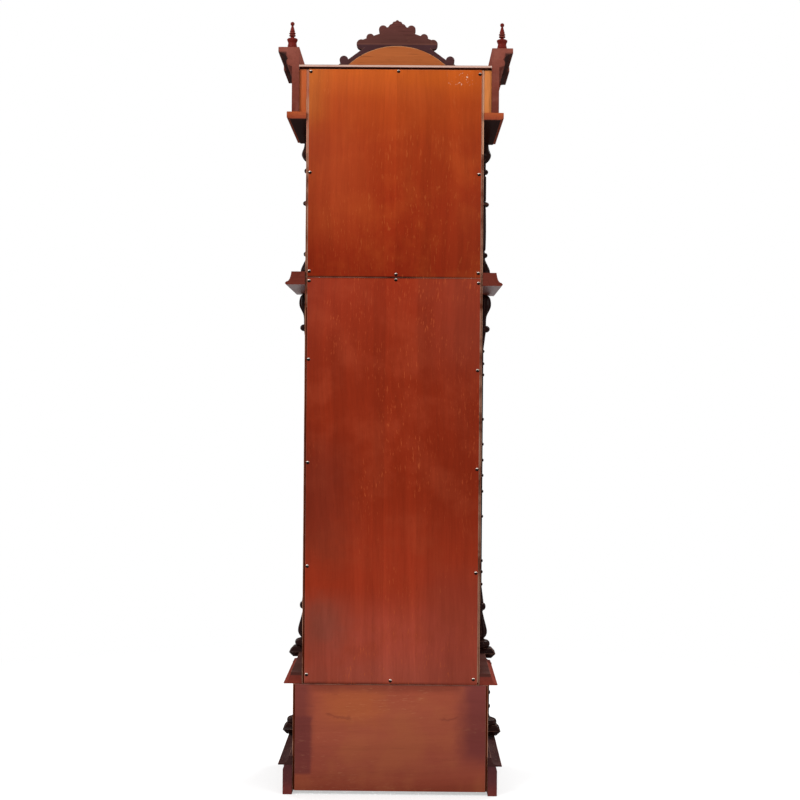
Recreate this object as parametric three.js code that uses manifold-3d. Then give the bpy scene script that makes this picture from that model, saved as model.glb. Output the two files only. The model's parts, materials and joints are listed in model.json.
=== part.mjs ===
// A tall carved floor clock: wooden case, two glazed doors, weight-driven movement, pendulum.
// Millimetres, +Z up. The front faces -Y and the back panels face +Y. The origin is on the
// floor under the middle of the clock.
import * as THREE from "three";
import { mergeVertices } from "three/addons/utils/BufferGeometryUtils.js";
import Module from "manifold-3d";

const wasm = await Module();
wasm.setup();

// Clearances
const seatGap = 0.3; // between pieces that are glued or screwed together
const runGap = 0.4; // around anything that turns or slides
const overcut = 1; // how far a cut runs past the face it leaves

// Case carcass
const caseHalf = 259; // half width over the case sides
const caseDepth = 372; // front edges of the case sides to the outer face of the back panels
const frontReach = 72; // how far the mouldings stand out in front of the case
const sideThick = 19;
const panelThick = 6;
const panelMargin = 7; // side edge left showing beside a back panel
const waistHeight = 1105; // base moulding to hood moulding
const hoodHeight = 365; // hood moulding to lower cornice
const friezeHeight = 125; // lower cornice to top board
const panelSplitRise = 48; // joint of the back panels above the foot of the hood moulding
const topBoardThick = 12;

// Base and plinth
const baseStepSide = 26; // base beyond the case at each side
const baseStepFront = 30; // base beyond the case in front
const baseThick = 19;
const baseFloorGap = 11;
const baseTopZ = 322;
const cornerNotch = 30; // how far the base sides stop short of the base front
const returnLength = 40; // base front panel's returns behind its face
const skirtThick = 27;
const skirtHeight = 86;
const plinthReach = 41;
const plinthHeight = 26;
const plinthTopReach = 10;
const baseMouldReach = 27;
const baseMouldTopReach = 7;
const baseMouldHeight = 33;

// Mouldings of the hood
const hoodMouldHeight = 64;
const hoodMouldReach = 58;
const hoodMouldTopReach = 40;
const hoodMouldTipDrop = 33;
const hoodMouldBeadReach = 50;
const hoodMouldBeadHeight = 14;
const hoodMouldSideHeight = 38; // side runs behind the front corners
const hoodMouldCornerLength = 92;
const lowerCorniceHeight = 101;
const lowerCorniceReach = 57;
const lowerCorniceFascia = 18;
const lowerCorniceBead = 38;
const lowerCorniceFoot = 14;
const lowerCorniceSideHeight = 22; // side runs and corners, over the hood columns
const fillerThick = 22; // frieze filler between case side and upper cornice
const fillerSetback = 8; // its rear end behind the back face
const friezeThick = 21;
const corniceOverTop = 63; // upper cornice above the underside of the top board
const upperCorniceReach = 61;
const upperCorniceFascia = 16;
const upperCorniceDrop = 56; // depth of the moulded part
const upperCorniceBead = 40;
const cornerBreak = 5; // how far the cornice's front blocks stand out
const cornerBlockLength = 132;
const fillet = 4; // small flats on the mouldings
const coveSteps = 5;

// Arch and crest
const archRadius = 226;
const archCentreRise = 52; // arch centre above the lower cornice
const archShoulderRise = 35; // shoulders of the arched board above the top board's underside
const tympanumThick = 10;
const crestThick = 30;
const crestRim = 22; // plain band of the crest round the arch
const crestRise = 60; // peak above the band
const crestGap = 22; // between the crest's foot and the cornice's front return
const archSteps = 24;
const lobeSteps = 6;

// Columns
const columnOut = 12.5; // column line outside the case side
const columnForward = 34; // column line in front of the case
const shaftRadius = 10;
const shaftBeadRadius = 13.5;
const shaftBeadHalf = 5;
const vaseRadius = 28.5;
const vaseNeck = 14;
const vaseHeight = 87;
const lowerBallRadius = 23.5;
const upperBallRadius = 27;
const ballHalf = 11;
const ballCore = 15;
const bellRadius = 31;
const bellHeight = 80;
const torusRadius = 37.5;
const torusHeight = 24;
const blockReach = 54.5; // block's outer edge beyond the column line
const blockDrop = 17; // how deep a block is let into the base moulding
const blockRise = 14; // how far it stands above the moulding
const blockBevel = 13;
const hoodFootRadius = 28;
const hoodFootHeight = 62;
const hoodNeck = 13;
const hoodRingRadius = 20.5;
const hoodRingHalf = 8;
const hoodShaftRadius = 14.5;
const hoodMiddleRingRadius = 24;
const hoodMiddleRingShare = 0.617; // of the way from the low ring to the high one
const hoodCapRadius = 29;
const hoodCapHeight = 64;
const columnSides = 10;

// Base columns
const baseColumnOut = 6; // column line outside the base side
const baseColumnBack = 4; // column line behind the base front
const baseShaftRadius = 17;
const baseRingReach = 3.5;
const baseRingHalf = 6;
const baseCapReach = 7;
const baseCapHeight = 8;
const footRadius = 41;
const footHeight = 20;
const plinthBlockIn = 45; // block's edges from the column line
const plinthBlockOut = 52;
const plinthBlockBack = 41;
const plinthBlockDrop = 16;
const plinthBlockRise = 16;

// Finials
const finialInset = 16; // finial line inside the edge of the cornice's block
const finialHeight = 165;
const finialFootRadius = 14;
const finialUrnRadius = 17;
const finialCupRadius = 18;
const finialTipRadius = 6.5;

// Doors
const doorThick = 22;
const doorSideGap = 2.5; // door edge inside the case side's inner face
const doorEndGap = 2;
const waistStile = 55;
const hoodStile = 42;
const glassThick = 4;
const hingeRadius = 2.8;
const hingeReach = 3; // hinge axis in front of a door's face
const hingeSide = 1; // hinge axis outside a door's edge
const hingeLeafThick = 1.7;
const hingeLeafDepth = 20; // leaf screwed along the case side
const waistHingeInset = 45;
const hoodHingeInset = 36;
const knobRadius = 11;
const knobLength = 26;
const knobInset = 25;

// Movement
const seatboardRise = 76; // seatboard above the hood moulding
const seatboardThick = 22;
const seatboardSetback = 16; // front edge behind the dial
const seatboardOverhang = 26; // rear edge behind the back plate
const dialRise = 106; // dial centre above the seatboard's underside
const plateMargin = 19; // plate edge beyond a barrel's flange
const plateHeight = 190;
const plateThick = 3;
const movementSetback = 53; // front plate behind the dial's face
const plateSpacing = 57; // clear space between the plates
const pillarRadius = 4;
const pillarInset = 12;
const arborRadius = 2;
const wheelThick = 3;
const pinionThick = 7;
const centreWheelSetback = 6; // behind the front plate
const thirdWheelSetback = 13; // behind the centre wheel
const escapeWheelSetback = 17; // behind the third wheel
const motionGap = 4; // between front plate, minute wheel and hour wheel
const trainModule = 1.2;
const escapeModule = 1.05;
const motionModule = 1.5;
const hourModule = 1.6;
const meshSlack = 0.2; // extra centre distance of a wheel and pinion
const centreTeeth = 45;
const thirdTeeth = 48;
const pinionTeeth = 6;
const escapeTeeth = 30;
const escapeRadius = 19;
const escapeToothDepth = 5;
const cannonTeeth = 8;
const minuteTeeth = 24;
const minutePinionTeeth = 6;
const hourTeeth = 24;
const anchorRise = 27; // anchor arbor above the escape arbor
const anchorSpan = THREE.MathUtils.degToRad(42); // pallets from the escape wheel's top
const palletGap = 3; // pallets clear of the tooth tips as the anchor rocks
const palletWidth = 5;
const palletHeight = 9;
const thirdAngle = THREE.MathUtils.degToRad(60);

// Dial and hands
const dialSetback = 22; // dial's face behind the case front
const dialThick = 3;
const dialSideGap = 8;
const dialEdgeGap = 6;
const dialFootRadius = 4;
const dialFootX = 75;
const dialFootRise = 72;
const dialHoleGap = 1;
const pipeWall = 1.6;
const minuteHubWall = 1.1; // minute wheel's hub, clear of the hour wheel's teeth
const minuteHandLength = 126;
const minuteHandHalf = 5;
const minuteBoss = 8;
const hourHandLength = 88;
const hourHandHalf = 7;
const hourBoss = 10;
const handThick = 2.4;
const handGap = 3.2;
const handDialGap = 3;

// Barrels, weights and cables
const barrelX = 46;
const barrelFloat = 5; // flange above the seatboard
const barrelRadius = 20;
const barrelLength = 34;
const flangeRadius = 25;
const flangeThick = 2;
const windingRadius = 4;
const cableRadius = 1.2;
const weightRadius = 29;
const weightHeight = 182;
const weightChamfer = 5;
const weightStem = 22;
const weightStemRadius = 4;
const weightDrop = 1120; // weight's foot below the seatboard when run down
const slotHalf = 8;

// Pendulum
const pendulumSetback = 42; // rod behind the back plate
const pendulumLength = 989; // pivot to the middle of the bob
const rodRadius = 3;
const rodTail = 46; // rod below the bob
const bobRadius = 75;
const bobHalfThick = 16;
const bobEdgeHalf = 2;
const nutRadius = 9;
const nutHeight = 9;
const eyeRadius = 7;
const eyeLength = 8;
const studRadius = 2.5;
const cockHalf = 8;
const cockThick = 6;
const cockGap = 4;
const crutchSetback = 8; // behind the back plate
const crutchLength = 84;
const crutchThick = 4;
const forkProng = 3;

// Striking work
const gongOffset = 30; // gong rod beside the hammer
const gongSetback = 30; // gong rod behind the pendulum
const gongRodRadius = 3;
const gongRodLength = 446;
const gongBlockHalf = 14;
const gongBlockHeight = 24;
const gongBlockDrop = 2; // block below the seatboard's underside
const hammerInset = 10; // hammer stud inside the plate's edge
const hammerRise = 50; // hammer stud above the seatboard's underside
const hammerArm = 120;
const hammerArmHalf = 2.5;
const hammerHubWall = 4;
const hammerHubHalf = 5;
const hammerHeadRadius = 7;
const hammerStrikeGap = 3;
const hammerStudRadius = 3;
const hammerStudTail = 6;

const woods = { panel: 0x9c4526, frame: 0x6e2b22, dark: 0x56201d, light: 0xb9672f, crest: 0x6b2f33 };
const metals = { brass: 0xb8923f, steel: 0x8c8c90, dial: 0xe9e2cf };

const clock = new THREE.Group();
clock.name = "floor_clock";

function addPart(name, geometry, color, roughness, metalness) {
  const material = new THREE.MeshStandardMaterial({ color, roughness, metalness });
  const mesh = new THREE.Mesh(geometry, material);
  mesh.name = name;
  clock.add(mesh);
}

function addWood(name, geometry, color) {
  addPart(name, geometry, color, 0.45, 0);
}

function addBrass(name, geometry) {
  addPart(name, geometry, metals.brass, 0.3, 1);
}

function addSteel(name, geometry) {
  addPart(name, geometry, metals.steel, 0.35, 1);
}

// Solids from three.js geometries, for joins and cuts

function cleanGeometry(geometry) {
  const bare = new THREE.BufferGeometry();
  bare.setAttribute("position", geometry.getAttribute("position"));
  bare.setIndex(geometry.index);
  const merged = mergeVertices(bare, 1e-3);
  const old = merged.index.array;
  const kept = [];
  for (let i = 0; i < old.length; i += 3) {
    const [a, b, c] = [old[i], old[i + 1], old[i + 2]];
    if (a !== b && b !== c && a !== c) kept.push(a, b, c);
  }
  merged.setIndex(kept);
  return signedVolume(merged) < 0 ? turnedRound(merged) : merged;
}

function signedVolume(geometry) {
  const position = geometry.getAttribute("position");
  const index = geometry.index.array;
  const corner = (i) => new THREE.Vector3().fromBufferAttribute(position, index[i]);
  let sum = 0;
  for (let i = 0; i < index.length; i += 3) {
    sum += corner(i).dot(corner(i + 1).cross(corner(i + 2))) / 6;
  }
  return sum;
}

function turnedRound(geometry) {
  const index = Array.from(geometry.index.array);
  for (let i = 0; i < index.length; i += 3) {
    [index[i + 1], index[i + 2]] = [index[i + 2], index[i + 1]];
  }
  return geometry.setIndex(index);
}

function solidOf(geometry) {
  const clean = cleanGeometry(geometry);
  return new wasm.Manifold(
    new wasm.Mesh({
      numProp: 3,
      vertProperties: new Float32Array(clean.getAttribute("position").array),
      triVerts: new Uint32Array(clean.index.array),
    }),
  );
}

function geometryOf(solid) {
  const mesh = solid.getMesh();
  const geometry = new THREE.BufferGeometry();
  geometry.setAttribute("position", new THREE.BufferAttribute(mesh.vertProperties, 3));
  geometry.setIndex(new THREE.BufferAttribute(mesh.triVerts, 1));
  return geometry;
}

function join(first, ...others) {
  return geometryOf(others.reduce((sum, other) => sum.add(solidOf(other)), solidOf(first)));
}

function cut(first, ...others) {
  return geometryOf(others.reduce((sum, other) => sum.subtract(solidOf(other)), solidOf(first)));
}

// Basic forms

function box([x0, x1], [y0, y1], [z0, z1]) {
  const geometry = new THREE.BoxGeometry(x1 - x0, y1 - y0, z1 - z0);
  return geometry.translate((x0 + x1) / 2, (y0 + y1) / 2, (z0 + z1) / 2);
}

function mirrored(geometry) {
  return turnedRound(cleanGeometry(geometry).clone().scale(-1, 1, 1));
}

// A turned piece about the vertical line at x, y from [radius, z] points.
function turned(points, x, y, sides) {
  const lathe = new THREE.LatheGeometry(
    points.map(([radius, z]) => new THREE.Vector2(radius, z)),
    sides,
  );
  return cleanGeometry(lathe.rotateX(Math.PI / 2).translate(x, y, 0));
}

// A turned piece about the level line at x, z that runs along Y, from [radius, y] points.
function turnedAcross(points, x, z, sides) {
  const lathe = new THREE.LatheGeometry(
    points.map(([radius, y]) => new THREE.Vector2(radius, y)),
    sides,
  );
  return cleanGeometry(lathe.translate(x, 0, z));
}

function rodAcross(radius, [y0, y1], x, z, sides = 12) {
  return turnedAcross([[0, y0], [radius, y0], [radius, y1], [0, y1]], x, z, sides);
}

function rodUpright(radius, [z0, z1], x, y, sides = 12) {
  return turned([[0, z0], [radius, z0], [radius, z1], [0, z1]], x, y, sides);
}

function pipeAcross(inner, outer, [y0, y1], x, z, sides = 16) {
  const points = [[inner, y0], [outer, y0], [outer, y1], [inner, y1], [inner, y0]];
  return turnedAcross(points, x, z, sides);
}

function pipeUpright(inner, outer, [z0, z1], x, y, sides = 16) {
  const points = [[inner, z0], [outer, z0], [outer, z1], [inner, z1], [inner, z0]];
  return turned(points, x, y, sides);
}

// A flat shape drawn in X and Z as seen from the front, from y0 back to y1.
function board(shape, [y0, y1], curveSegments = 12) {
  const options = { depth: y1 - y0, bevelEnabled: false, curveSegments };
  const geometry = new THREE.ExtrudeGeometry(shape, options);
  return cleanGeometry(geometry.rotateX(Math.PI / 2).translate(0, y1, 0));
}

// A plan drawn in X and Y, from z0 up to z1.
function prism(points, [z0, z1]) {
  const shape = new THREE.Shape(points.map(([x, y]) => new THREE.Vector2(x, y)));
  const geometry = new THREE.ExtrudeGeometry(shape, { depth: z1 - z0, bevelEnabled: false });
  return cleanGeometry(geometry.translate(0, 0, z0));
}

function curve(from, control, to, steps = coveSteps) {
  const bend = new THREE.QuadraticBezierCurve(
    new THREE.Vector2(...from),
    new THREE.Vector2(...control),
    new THREE.Vector2(...to),
  );
  return bend.getPoints(steps).map((point) => [point.x, point.y]);
}

function smooth(points, steps) {
  const spline = new THREE.SplineCurve(points.map((point) => new THREE.Vector2(...point)));
  return spline.getPoints(steps).map((point) => [point.x, point.y]);
}

// A half-round member of a turning, from core radius out to radius and back.
function bead(z, radius, halfHeight, core, steps = 4) {
  const points = [];
  for (let i = 0; i <= steps; i += 1) {
    const angle = (Math.PI * i) / steps;
    points.push([core + (radius - core) * Math.sin(angle), z - halfHeight * Math.cos(angle)]);
  }
  return points;
}

// A moulding of [outward, z] points along a level path with mitred corners.
// Outward lies on the right of the path's direction.
function moulding(profile, path) {
  const side = (a, b) => {
    const length = Math.hypot(b[0] - a[0], b[1] - a[1]);
    return [(b[1] - a[1]) / length, (a[0] - b[0]) / length];
  };
  const position = [];
  path.forEach((point, i) => {
    const before = i > 0 ? side(path[i - 1], point) : side(point, path[i + 1]);
    const after = i < path.length - 1 ? side(point, path[i + 1]) : before;
    const share = 1 + before[0] * after[0] + before[1] * after[1];
    const mitre = [(before[0] + after[0]) / share, (before[1] + after[1]) / share];
    profile.forEach(([out, z]) => {
      position.push(point[0] + mitre[0] * out, point[1] + mitre[1] * out, z);
    });
  });
  const count = profile.length;
  const index = [];
  for (let ring = 0; ring < path.length - 1; ring += 1) {
    for (let j = 0; j < count; j += 1) {
      const a = ring * count + j;
      const b = ring * count + ((j + 1) % count);
      index.push(a, b, b + count, a, b + count, a + count);
    }
  }
  const last = (path.length - 1) * count;
  sectionTriangles(profile).forEach(([a, b, c]) => {
    index.push(a, c, b, last + a, last + b, last + c);
  });
  const geometry = new THREE.BufferGeometry();
  geometry.setAttribute("position", new THREE.Float32BufferAttribute(position, 3));
  return cleanGeometry(geometry.setIndex(index));
}

// Triangles over a profile that keep the order of its points.
function sectionTriangles(profile) {
  const contour = profile.map((point) => new THREE.Vector2(...point));
  const order = Math.sign(THREE.ShapeUtils.area(contour));
  return THREE.ShapeUtils.triangulateShape(contour, []).map(([a, b, c]) => {
    const area = THREE.ShapeUtils.area([contour[a], contour[b], contour[c]]);
    return Math.sign(area) === order ? [a, b, c] : [a, c, b];
  });
}

// The path of a moulding that goes round the left, front and right of the clock.
function roundPath(half, frontY, rearY) {
  return [[-half, rearY], [-half, frontY], [half, frontY], [half, rearY]];
}

// A block whose upright faces bulge to a sharp edge between its bottom and its top.
function bevelledBlock([x0, x1], [y0, y1], [z0, z1], bevel) {
  const zMid = (z0 + z1) / 2;
  const level = (inset, z) => [
    [x0 + inset, y0 + inset, z],
    [x1 - inset, y0 + inset, z],
    [x1 - inset, y1 - inset, z],
    [x0 + inset, y1 - inset, z],
  ];
  const corners = [...level(bevel, z0), ...level(0, zMid), ...level(bevel, z1)];
  const index = [0, 2, 1, 0, 3, 2, 8, 9, 10, 8, 10, 11];
  for (const ring of [0, 4]) {
    for (let j = 0; j < 4; j += 1) {
      const a = ring + j;
      const b = ring + ((j + 1) % 4);
      index.push(a, b, b + 4, a, b + 4, a + 4);
    }
  }
  const geometry = new THREE.BufferGeometry();
  geometry.setAttribute("position", new THREE.Float32BufferAttribute(corners.flat(), 3));
  return cleanGeometry(geometry.setIndex(index));
}

// Shared places
const backY = (caseDepth + frontReach) / 2;
const frontY = -backY;
const caseFrontY = frontY + frontReach;
const caseBackY = backY - panelThick - seatGap;
const caseInner = caseHalf - sideThick;
const baseHalf = caseHalf + baseStepSide;
const baseInner = baseHalf - baseThick;
const baseFrontY = caseFrontY - baseStepFront;
const baseSideFrontY = baseFrontY + cornerNotch;
const plinthTopZ = skirtHeight + seatGap + plinthHeight;
const baseMouldTopZ = baseTopZ + baseMouldHeight;
const hoodMouldZ = baseMouldTopZ + waistHeight;
const hoodMouldTopZ = hoodMouldZ + hoodMouldHeight;
const panelSplitZ = hoodMouldZ + panelSplitRise;
const lowerCorniceZ = hoodMouldTopZ + hoodHeight;
const lowerCorniceTopZ = lowerCorniceZ + lowerCorniceHeight;
const lowerCorniceSideZ = lowerCorniceTopZ - lowerCorniceSideHeight;
const corniceEndX = caseHalf - overcut; // where the lower cornice's deep front run ends
const topBoardZ = lowerCorniceTopZ + friezeHeight;
const upperCorniceTopZ = topBoardZ + corniceOverTop;
const friezeInner = caseHalf + fillerThick;
const corniceBreak = friezeInner + cornerBreak;
const archCentreZ = lowerCorniceTopZ + archCentreRise;
const archShoulderZ = topBoardZ + archShoulderRise;
const crestOuter = archRadius + crestRim;
const crestFootZ = archShoulderZ + seatGap;
const crestFootX = Math.sqrt(crestOuter ** 2 - (crestFootZ - archCentreZ) ** 2);
const columnX = caseHalf + columnOut;
const columnY = caseFrontY - columnForward;
const blockX = [caseInner, columnX + blockReach];
const blockY = [frontY, caseFrontY - seatGap];
const blockZ = [baseMouldTopZ - blockDrop + seatGap, baseMouldTopZ + blockRise];
const baseColumnX = baseHalf + baseColumnOut;
const baseColumnY = baseFrontY + baseColumnBack;
const plinthBlockX = [baseColumnX - plinthBlockIn, baseColumnX + plinthBlockOut];
const plinthBlockY = [frontY, baseColumnY + plinthBlockBack];
const plinthBlockZ = [plinthTopZ - plinthBlockDrop + seatGap, plinthTopZ + plinthBlockRise];
const doorHalf = caseInner - doorSideGap;
const seatboardZ = hoodMouldTopZ + seatboardRise;
const seatboardTopZ = seatboardZ + seatboardThick;
const dialCentreZ = seatboardZ + dialRise;
const dialY = caseFrontY + dialSetback;

addPlinth();
addBase();
addCarcass();
addHoodMouldings();
addArch();
addColumns();
addFinials();
addDoor("waist", baseMouldTopZ, hoodMouldZ, waistStile, waistHingeInset);
addDoor("hood", hoodMouldTopZ, lowerCorniceZ, hoodStile, hoodHingeInset);
addMovement();

// Plinth and base

function addPlinth() {
  const inner = baseHalf + seatGap;
  const outer = inner + skirtThick;
  const innerY = baseFrontY - seatGap;
  const outerY = innerY - skirtThick;
  const skirt = prism(
    [
      [-outer, backY],
      [-outer, outerY],
      [outer, outerY],
      [outer, backY],
      [inner, backY],
      [inner, innerY],
      [-inner, innerY],
      [-inner, backY],
    ],
    [0, skirtHeight],
  );
  addWood("plinth_skirt", skirt, woods.frame);

  const bottom = skirtHeight + seatGap;
  const profile = [
    [0, bottom],
    [plinthReach, bottom],
    [plinthReach, bottom + fillet],
    ...curve(
      [plinthReach - fillet, bottom + fillet],
      [plinthTopReach, bottom + fillet],
      [plinthTopReach, plinthTopZ - fillet],
    ),
    [plinthTopReach, plinthTopZ],
    [0, plinthTopZ],
  ];
  const run = moulding(profile, roundPath(inner, innerY, backY));
  addWood("plinth_moulding", cut(run, ...seats(plinthBlockX, plinthBlockY, plinthBlockZ)), woods.frame);
}

// The room that a pair of blocks takes out of a moulding.
function seats([x0, x1], [y0, y1], [z0, z1]) {
  return [-1, 1].map((hand) =>
    handBox(hand, [x0 - seatGap, x1 + seatGap], [y0 - seatGap, y1 + seatGap], [z0 - seatGap, z1]),
  );
}

// A box on the right (hand 1) or left (hand -1) of the clock.
function handBox(hand, [x0, x1], ys, zs) {
  return hand > 0 ? box([x0, x1], ys, zs) : box([-x1, -x0], ys, zs);
}

function addBase() {
  const top = baseTopZ - seatGap;
  for (const [name, hand] of [["left", -1], ["right", 1]]) {
    const side = handBox(hand, [baseInner, baseHalf], [baseSideFrontY, caseBackY], [baseFloorGap, top]);
    addWood("base_side_" + name, side, woods.frame);
  }
  const half = baseInner - seatGap;
  const inside = half - baseThick;
  const rear = baseFrontY + baseThick;
  const front = prism(
    [
      [-half, baseFrontY],
      [half, baseFrontY],
      [half, rear + returnLength],
      [inside, rear + returnLength],
      [inside, rear],
      [-inside, rear],
      [-inside, rear + returnLength],
      [-half, rear + returnLength],
    ],
    [baseFloorGap, top],
  );
  addWood("base_front_panel", front, woods.panel);
  const backHalf = baseHalf - panelMargin;
  const back = box([-backHalf, backHalf], [backY - panelThick, backY], [baseFloorGap, top - seatGap]);
  addWood("base_back_panel", back, woods.panel);

  const inward = caseHalf + seatGap - baseHalf;
  const profile = [
    [inward, baseTopZ],
    [baseMouldReach, baseTopZ],
    [baseMouldReach, baseTopZ + fillet],
    ...curve(
      [baseMouldReach - fillet, baseTopZ + fillet],
      [baseMouldTopReach + fillet, baseTopZ + 2 * fillet],
      [baseMouldTopReach, baseMouldTopZ - fillet],
    ),
    [baseMouldTopReach, baseMouldTopZ],
    [inward, baseMouldTopZ],
  ];
  const run = moulding(profile, roundPath(baseHalf, baseFrontY, caseBackY));
  addWood("base_moulding", cut(run, ...seats(blockX, blockY, blockZ)), woods.frame);
}

// Case sides, back panels and top board

function addCarcass() {
  const top = topBoardZ - seatGap;
  for (const [name, hand] of [["left", -1], ["right", 1]]) {
    const side = handBox(hand, [caseInner, caseHalf], [caseFrontY, caseBackY], [baseTopZ, top]);
    addWood("case_side_" + name, side, woods.frame);
  }
  const panelHalf = caseHalf - panelMargin;
  const panelY = [backY - panelThick, backY];
  const lower = box([-panelHalf, panelHalf], panelY, [baseTopZ, panelSplitZ - seatGap]);
  addWood("lower_back_panel", lower, woods.panel);
  const upper = box([-panelHalf, panelHalf], panelY, [panelSplitZ, top]);
  addWood("upper_back_panel", upper, woods.panel);
  const boardHalf = friezeInner - seatGap;
  const roof = box([-boardHalf, boardHalf], [caseFrontY, backY], [topBoardZ, topBoardZ + topBoardThick]);
  addWood("top_board", roof, woods.light);
}

// Hood moulding and cornices

function addHoodMouldings() {
  const inner = caseHalf + seatGap;
  const tipZ = hoodMouldTopZ - hoodMouldTipDrop;
  const hoodProfile = [
    [0, hoodMouldZ],
    [hoodMouldBeadReach - fillet, hoodMouldZ],
    [hoodMouldBeadReach, hoodMouldZ + hoodMouldBeadHeight / 2],
    [hoodMouldBeadReach - fillet, hoodMouldZ + hoodMouldBeadHeight],
    [hoodMouldReach, tipZ - fillet / 2],
    [hoodMouldReach, tipZ],
    ...curve(
      [hoodMouldReach - fillet, tipZ + fillet],
      [hoodMouldTopReach + fillet, tipZ + fillet],
      [hoodMouldTopReach, hoodMouldTopZ - fillet],
    ),
    [hoodMouldTopReach, hoodMouldTopZ],
    [0, hoodMouldTopZ],
  ];
  const hoodRun = moulding(hoodProfile, roundPath(inner, frontY + hoodMouldReach, backY));
  const underSides = box(
    [-2 * inner, 2 * inner],
    [frontY + hoodMouldCornerLength, 2 * backY],
    [hoodMouldZ - fillet, hoodMouldTopZ - hoodMouldSideHeight],
  );
  addWood("hood_moulding", cut(hoodRun, underSides), woods.dark);

  const lowerProfile = corniceProfile({
    bottomZ: lowerCorniceZ,
    topZ: lowerCorniceTopZ,
    foot: lowerCorniceFoot,
    bead: lowerCorniceBead,
    reach: lowerCorniceReach,
    fascia: lowerCorniceFascia,
  });
  const lowerRun = moulding(lowerProfile, roundPath(inner, frontY + lowerCorniceReach, backY));
  const underEnds = [-1, 1].map((hand) =>
    handBox(hand, [corniceEndX, 2 * caseHalf], [2 * frontY, 2 * backY], [lowerCorniceZ - fillet, lowerCorniceSideZ]),
  );
  addWood("lower_cornice", cut(lowerRun, ...underEnds), woods.frame);

  const boardBottomZ = lowerCorniceTopZ + seatGap;
  const upperProfile = [
    [0, boardBottomZ],
    [friezeThick, boardBottomZ],
    ...corniceProfile({
      bottomZ: upperCorniceTopZ - upperCorniceDrop,
      topZ: upperCorniceTopZ,
      foot: friezeThick,
      bead: upperCorniceBead,
      reach: upperCorniceReach,
      fascia: upperCorniceFascia,
    }).slice(1),
  ];
  const returnY = frontY + upperCorniceReach;
  const blockRearY = frontY + cornerBlockLength;
  const path = [
    [crestFootX + crestGap, returnY],
    [corniceBreak, returnY],
    [corniceBreak, blockRearY],
    [friezeInner, blockRearY],
    [friezeInner, backY],
  ];
  const infill = box(
    [friezeInner, corniceBreak + friezeThick / 2],
    [returnY - friezeThick / 2, blockRearY + friezeThick / 2],
    [boardBottomZ, upperCorniceTopZ],
  );
  const right = join(moulding(upperProfile, path), infill);
  addWood("upper_cornice_right", right, woods.frame);
  addWood("upper_cornice_left", mirrored(right), woods.frame);

  for (const [name, hand] of [["left", -1], ["right", 1]]) {
    const filler = handBox(
      hand,
      [inner, friezeInner - seatGap],
      [caseFrontY, backY - fillerSetback],
      [boardBottomZ, topBoardZ - seatGap],
    );
    addWood("frieze_filler_" + name, filler, woods.light);
  }
}

// A cornice from its foot up over a bead and a cove to its fascia.
function corniceProfile({ bottomZ, topZ, foot, bead: beadReach, reach, fascia }) {
  const beadHeight = beadReach - foot;
  return [
    [0, bottomZ],
    [foot, bottomZ],
    [beadReach - fillet, bottomZ + beadHeight / 3],
    [beadReach, bottomZ + beadHeight / 2],
    [beadReach - fillet, bottomZ + beadHeight],
    ...curve(
      [beadReach - 2 * fillet, bottomZ + beadHeight + fillet],
      [beadReach, topZ - fascia - fillet],
      [reach - fillet, topZ - fascia],
    ),
    [reach, topZ - fascia],
    [reach, topZ],
    [0, topZ],
  ];
}

// Arched board and the carved crest round it

function addArch() {
  const boardY = [caseFrontY - seatGap - tympanumThick, caseFrontY - seatGap];
  const half = friezeInner - seatGap;
  const shoulder = Math.sqrt(archRadius ** 2 - (archShoulderZ - archCentreZ) ** 2);
  const shoulderAngle = Math.atan2(archShoulderZ - archCentreZ, shoulder);
  const tympanum = new THREE.Shape();
  tympanum.moveTo(-half, lowerCorniceTopZ + seatGap);
  tympanum.lineTo(half, lowerCorniceTopZ + seatGap);
  tympanum.lineTo(half, archShoulderZ);
  tympanum.lineTo(shoulder, archShoulderZ);
  tympanum.absarc(0, archCentreZ, archRadius, shoulderAngle, Math.PI - shoulderAngle, false);
  tympanum.lineTo(-half, archShoulderZ);
  addWood("tympanum", board(tympanum, boardY, archSteps), woods.light);

  const crestY = [caseFrontY - seatGap - crestThick, caseFrontY - seatGap];
  addWood("crest", board(crestShape(), crestY, 6), woods.crest);
}

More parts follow.
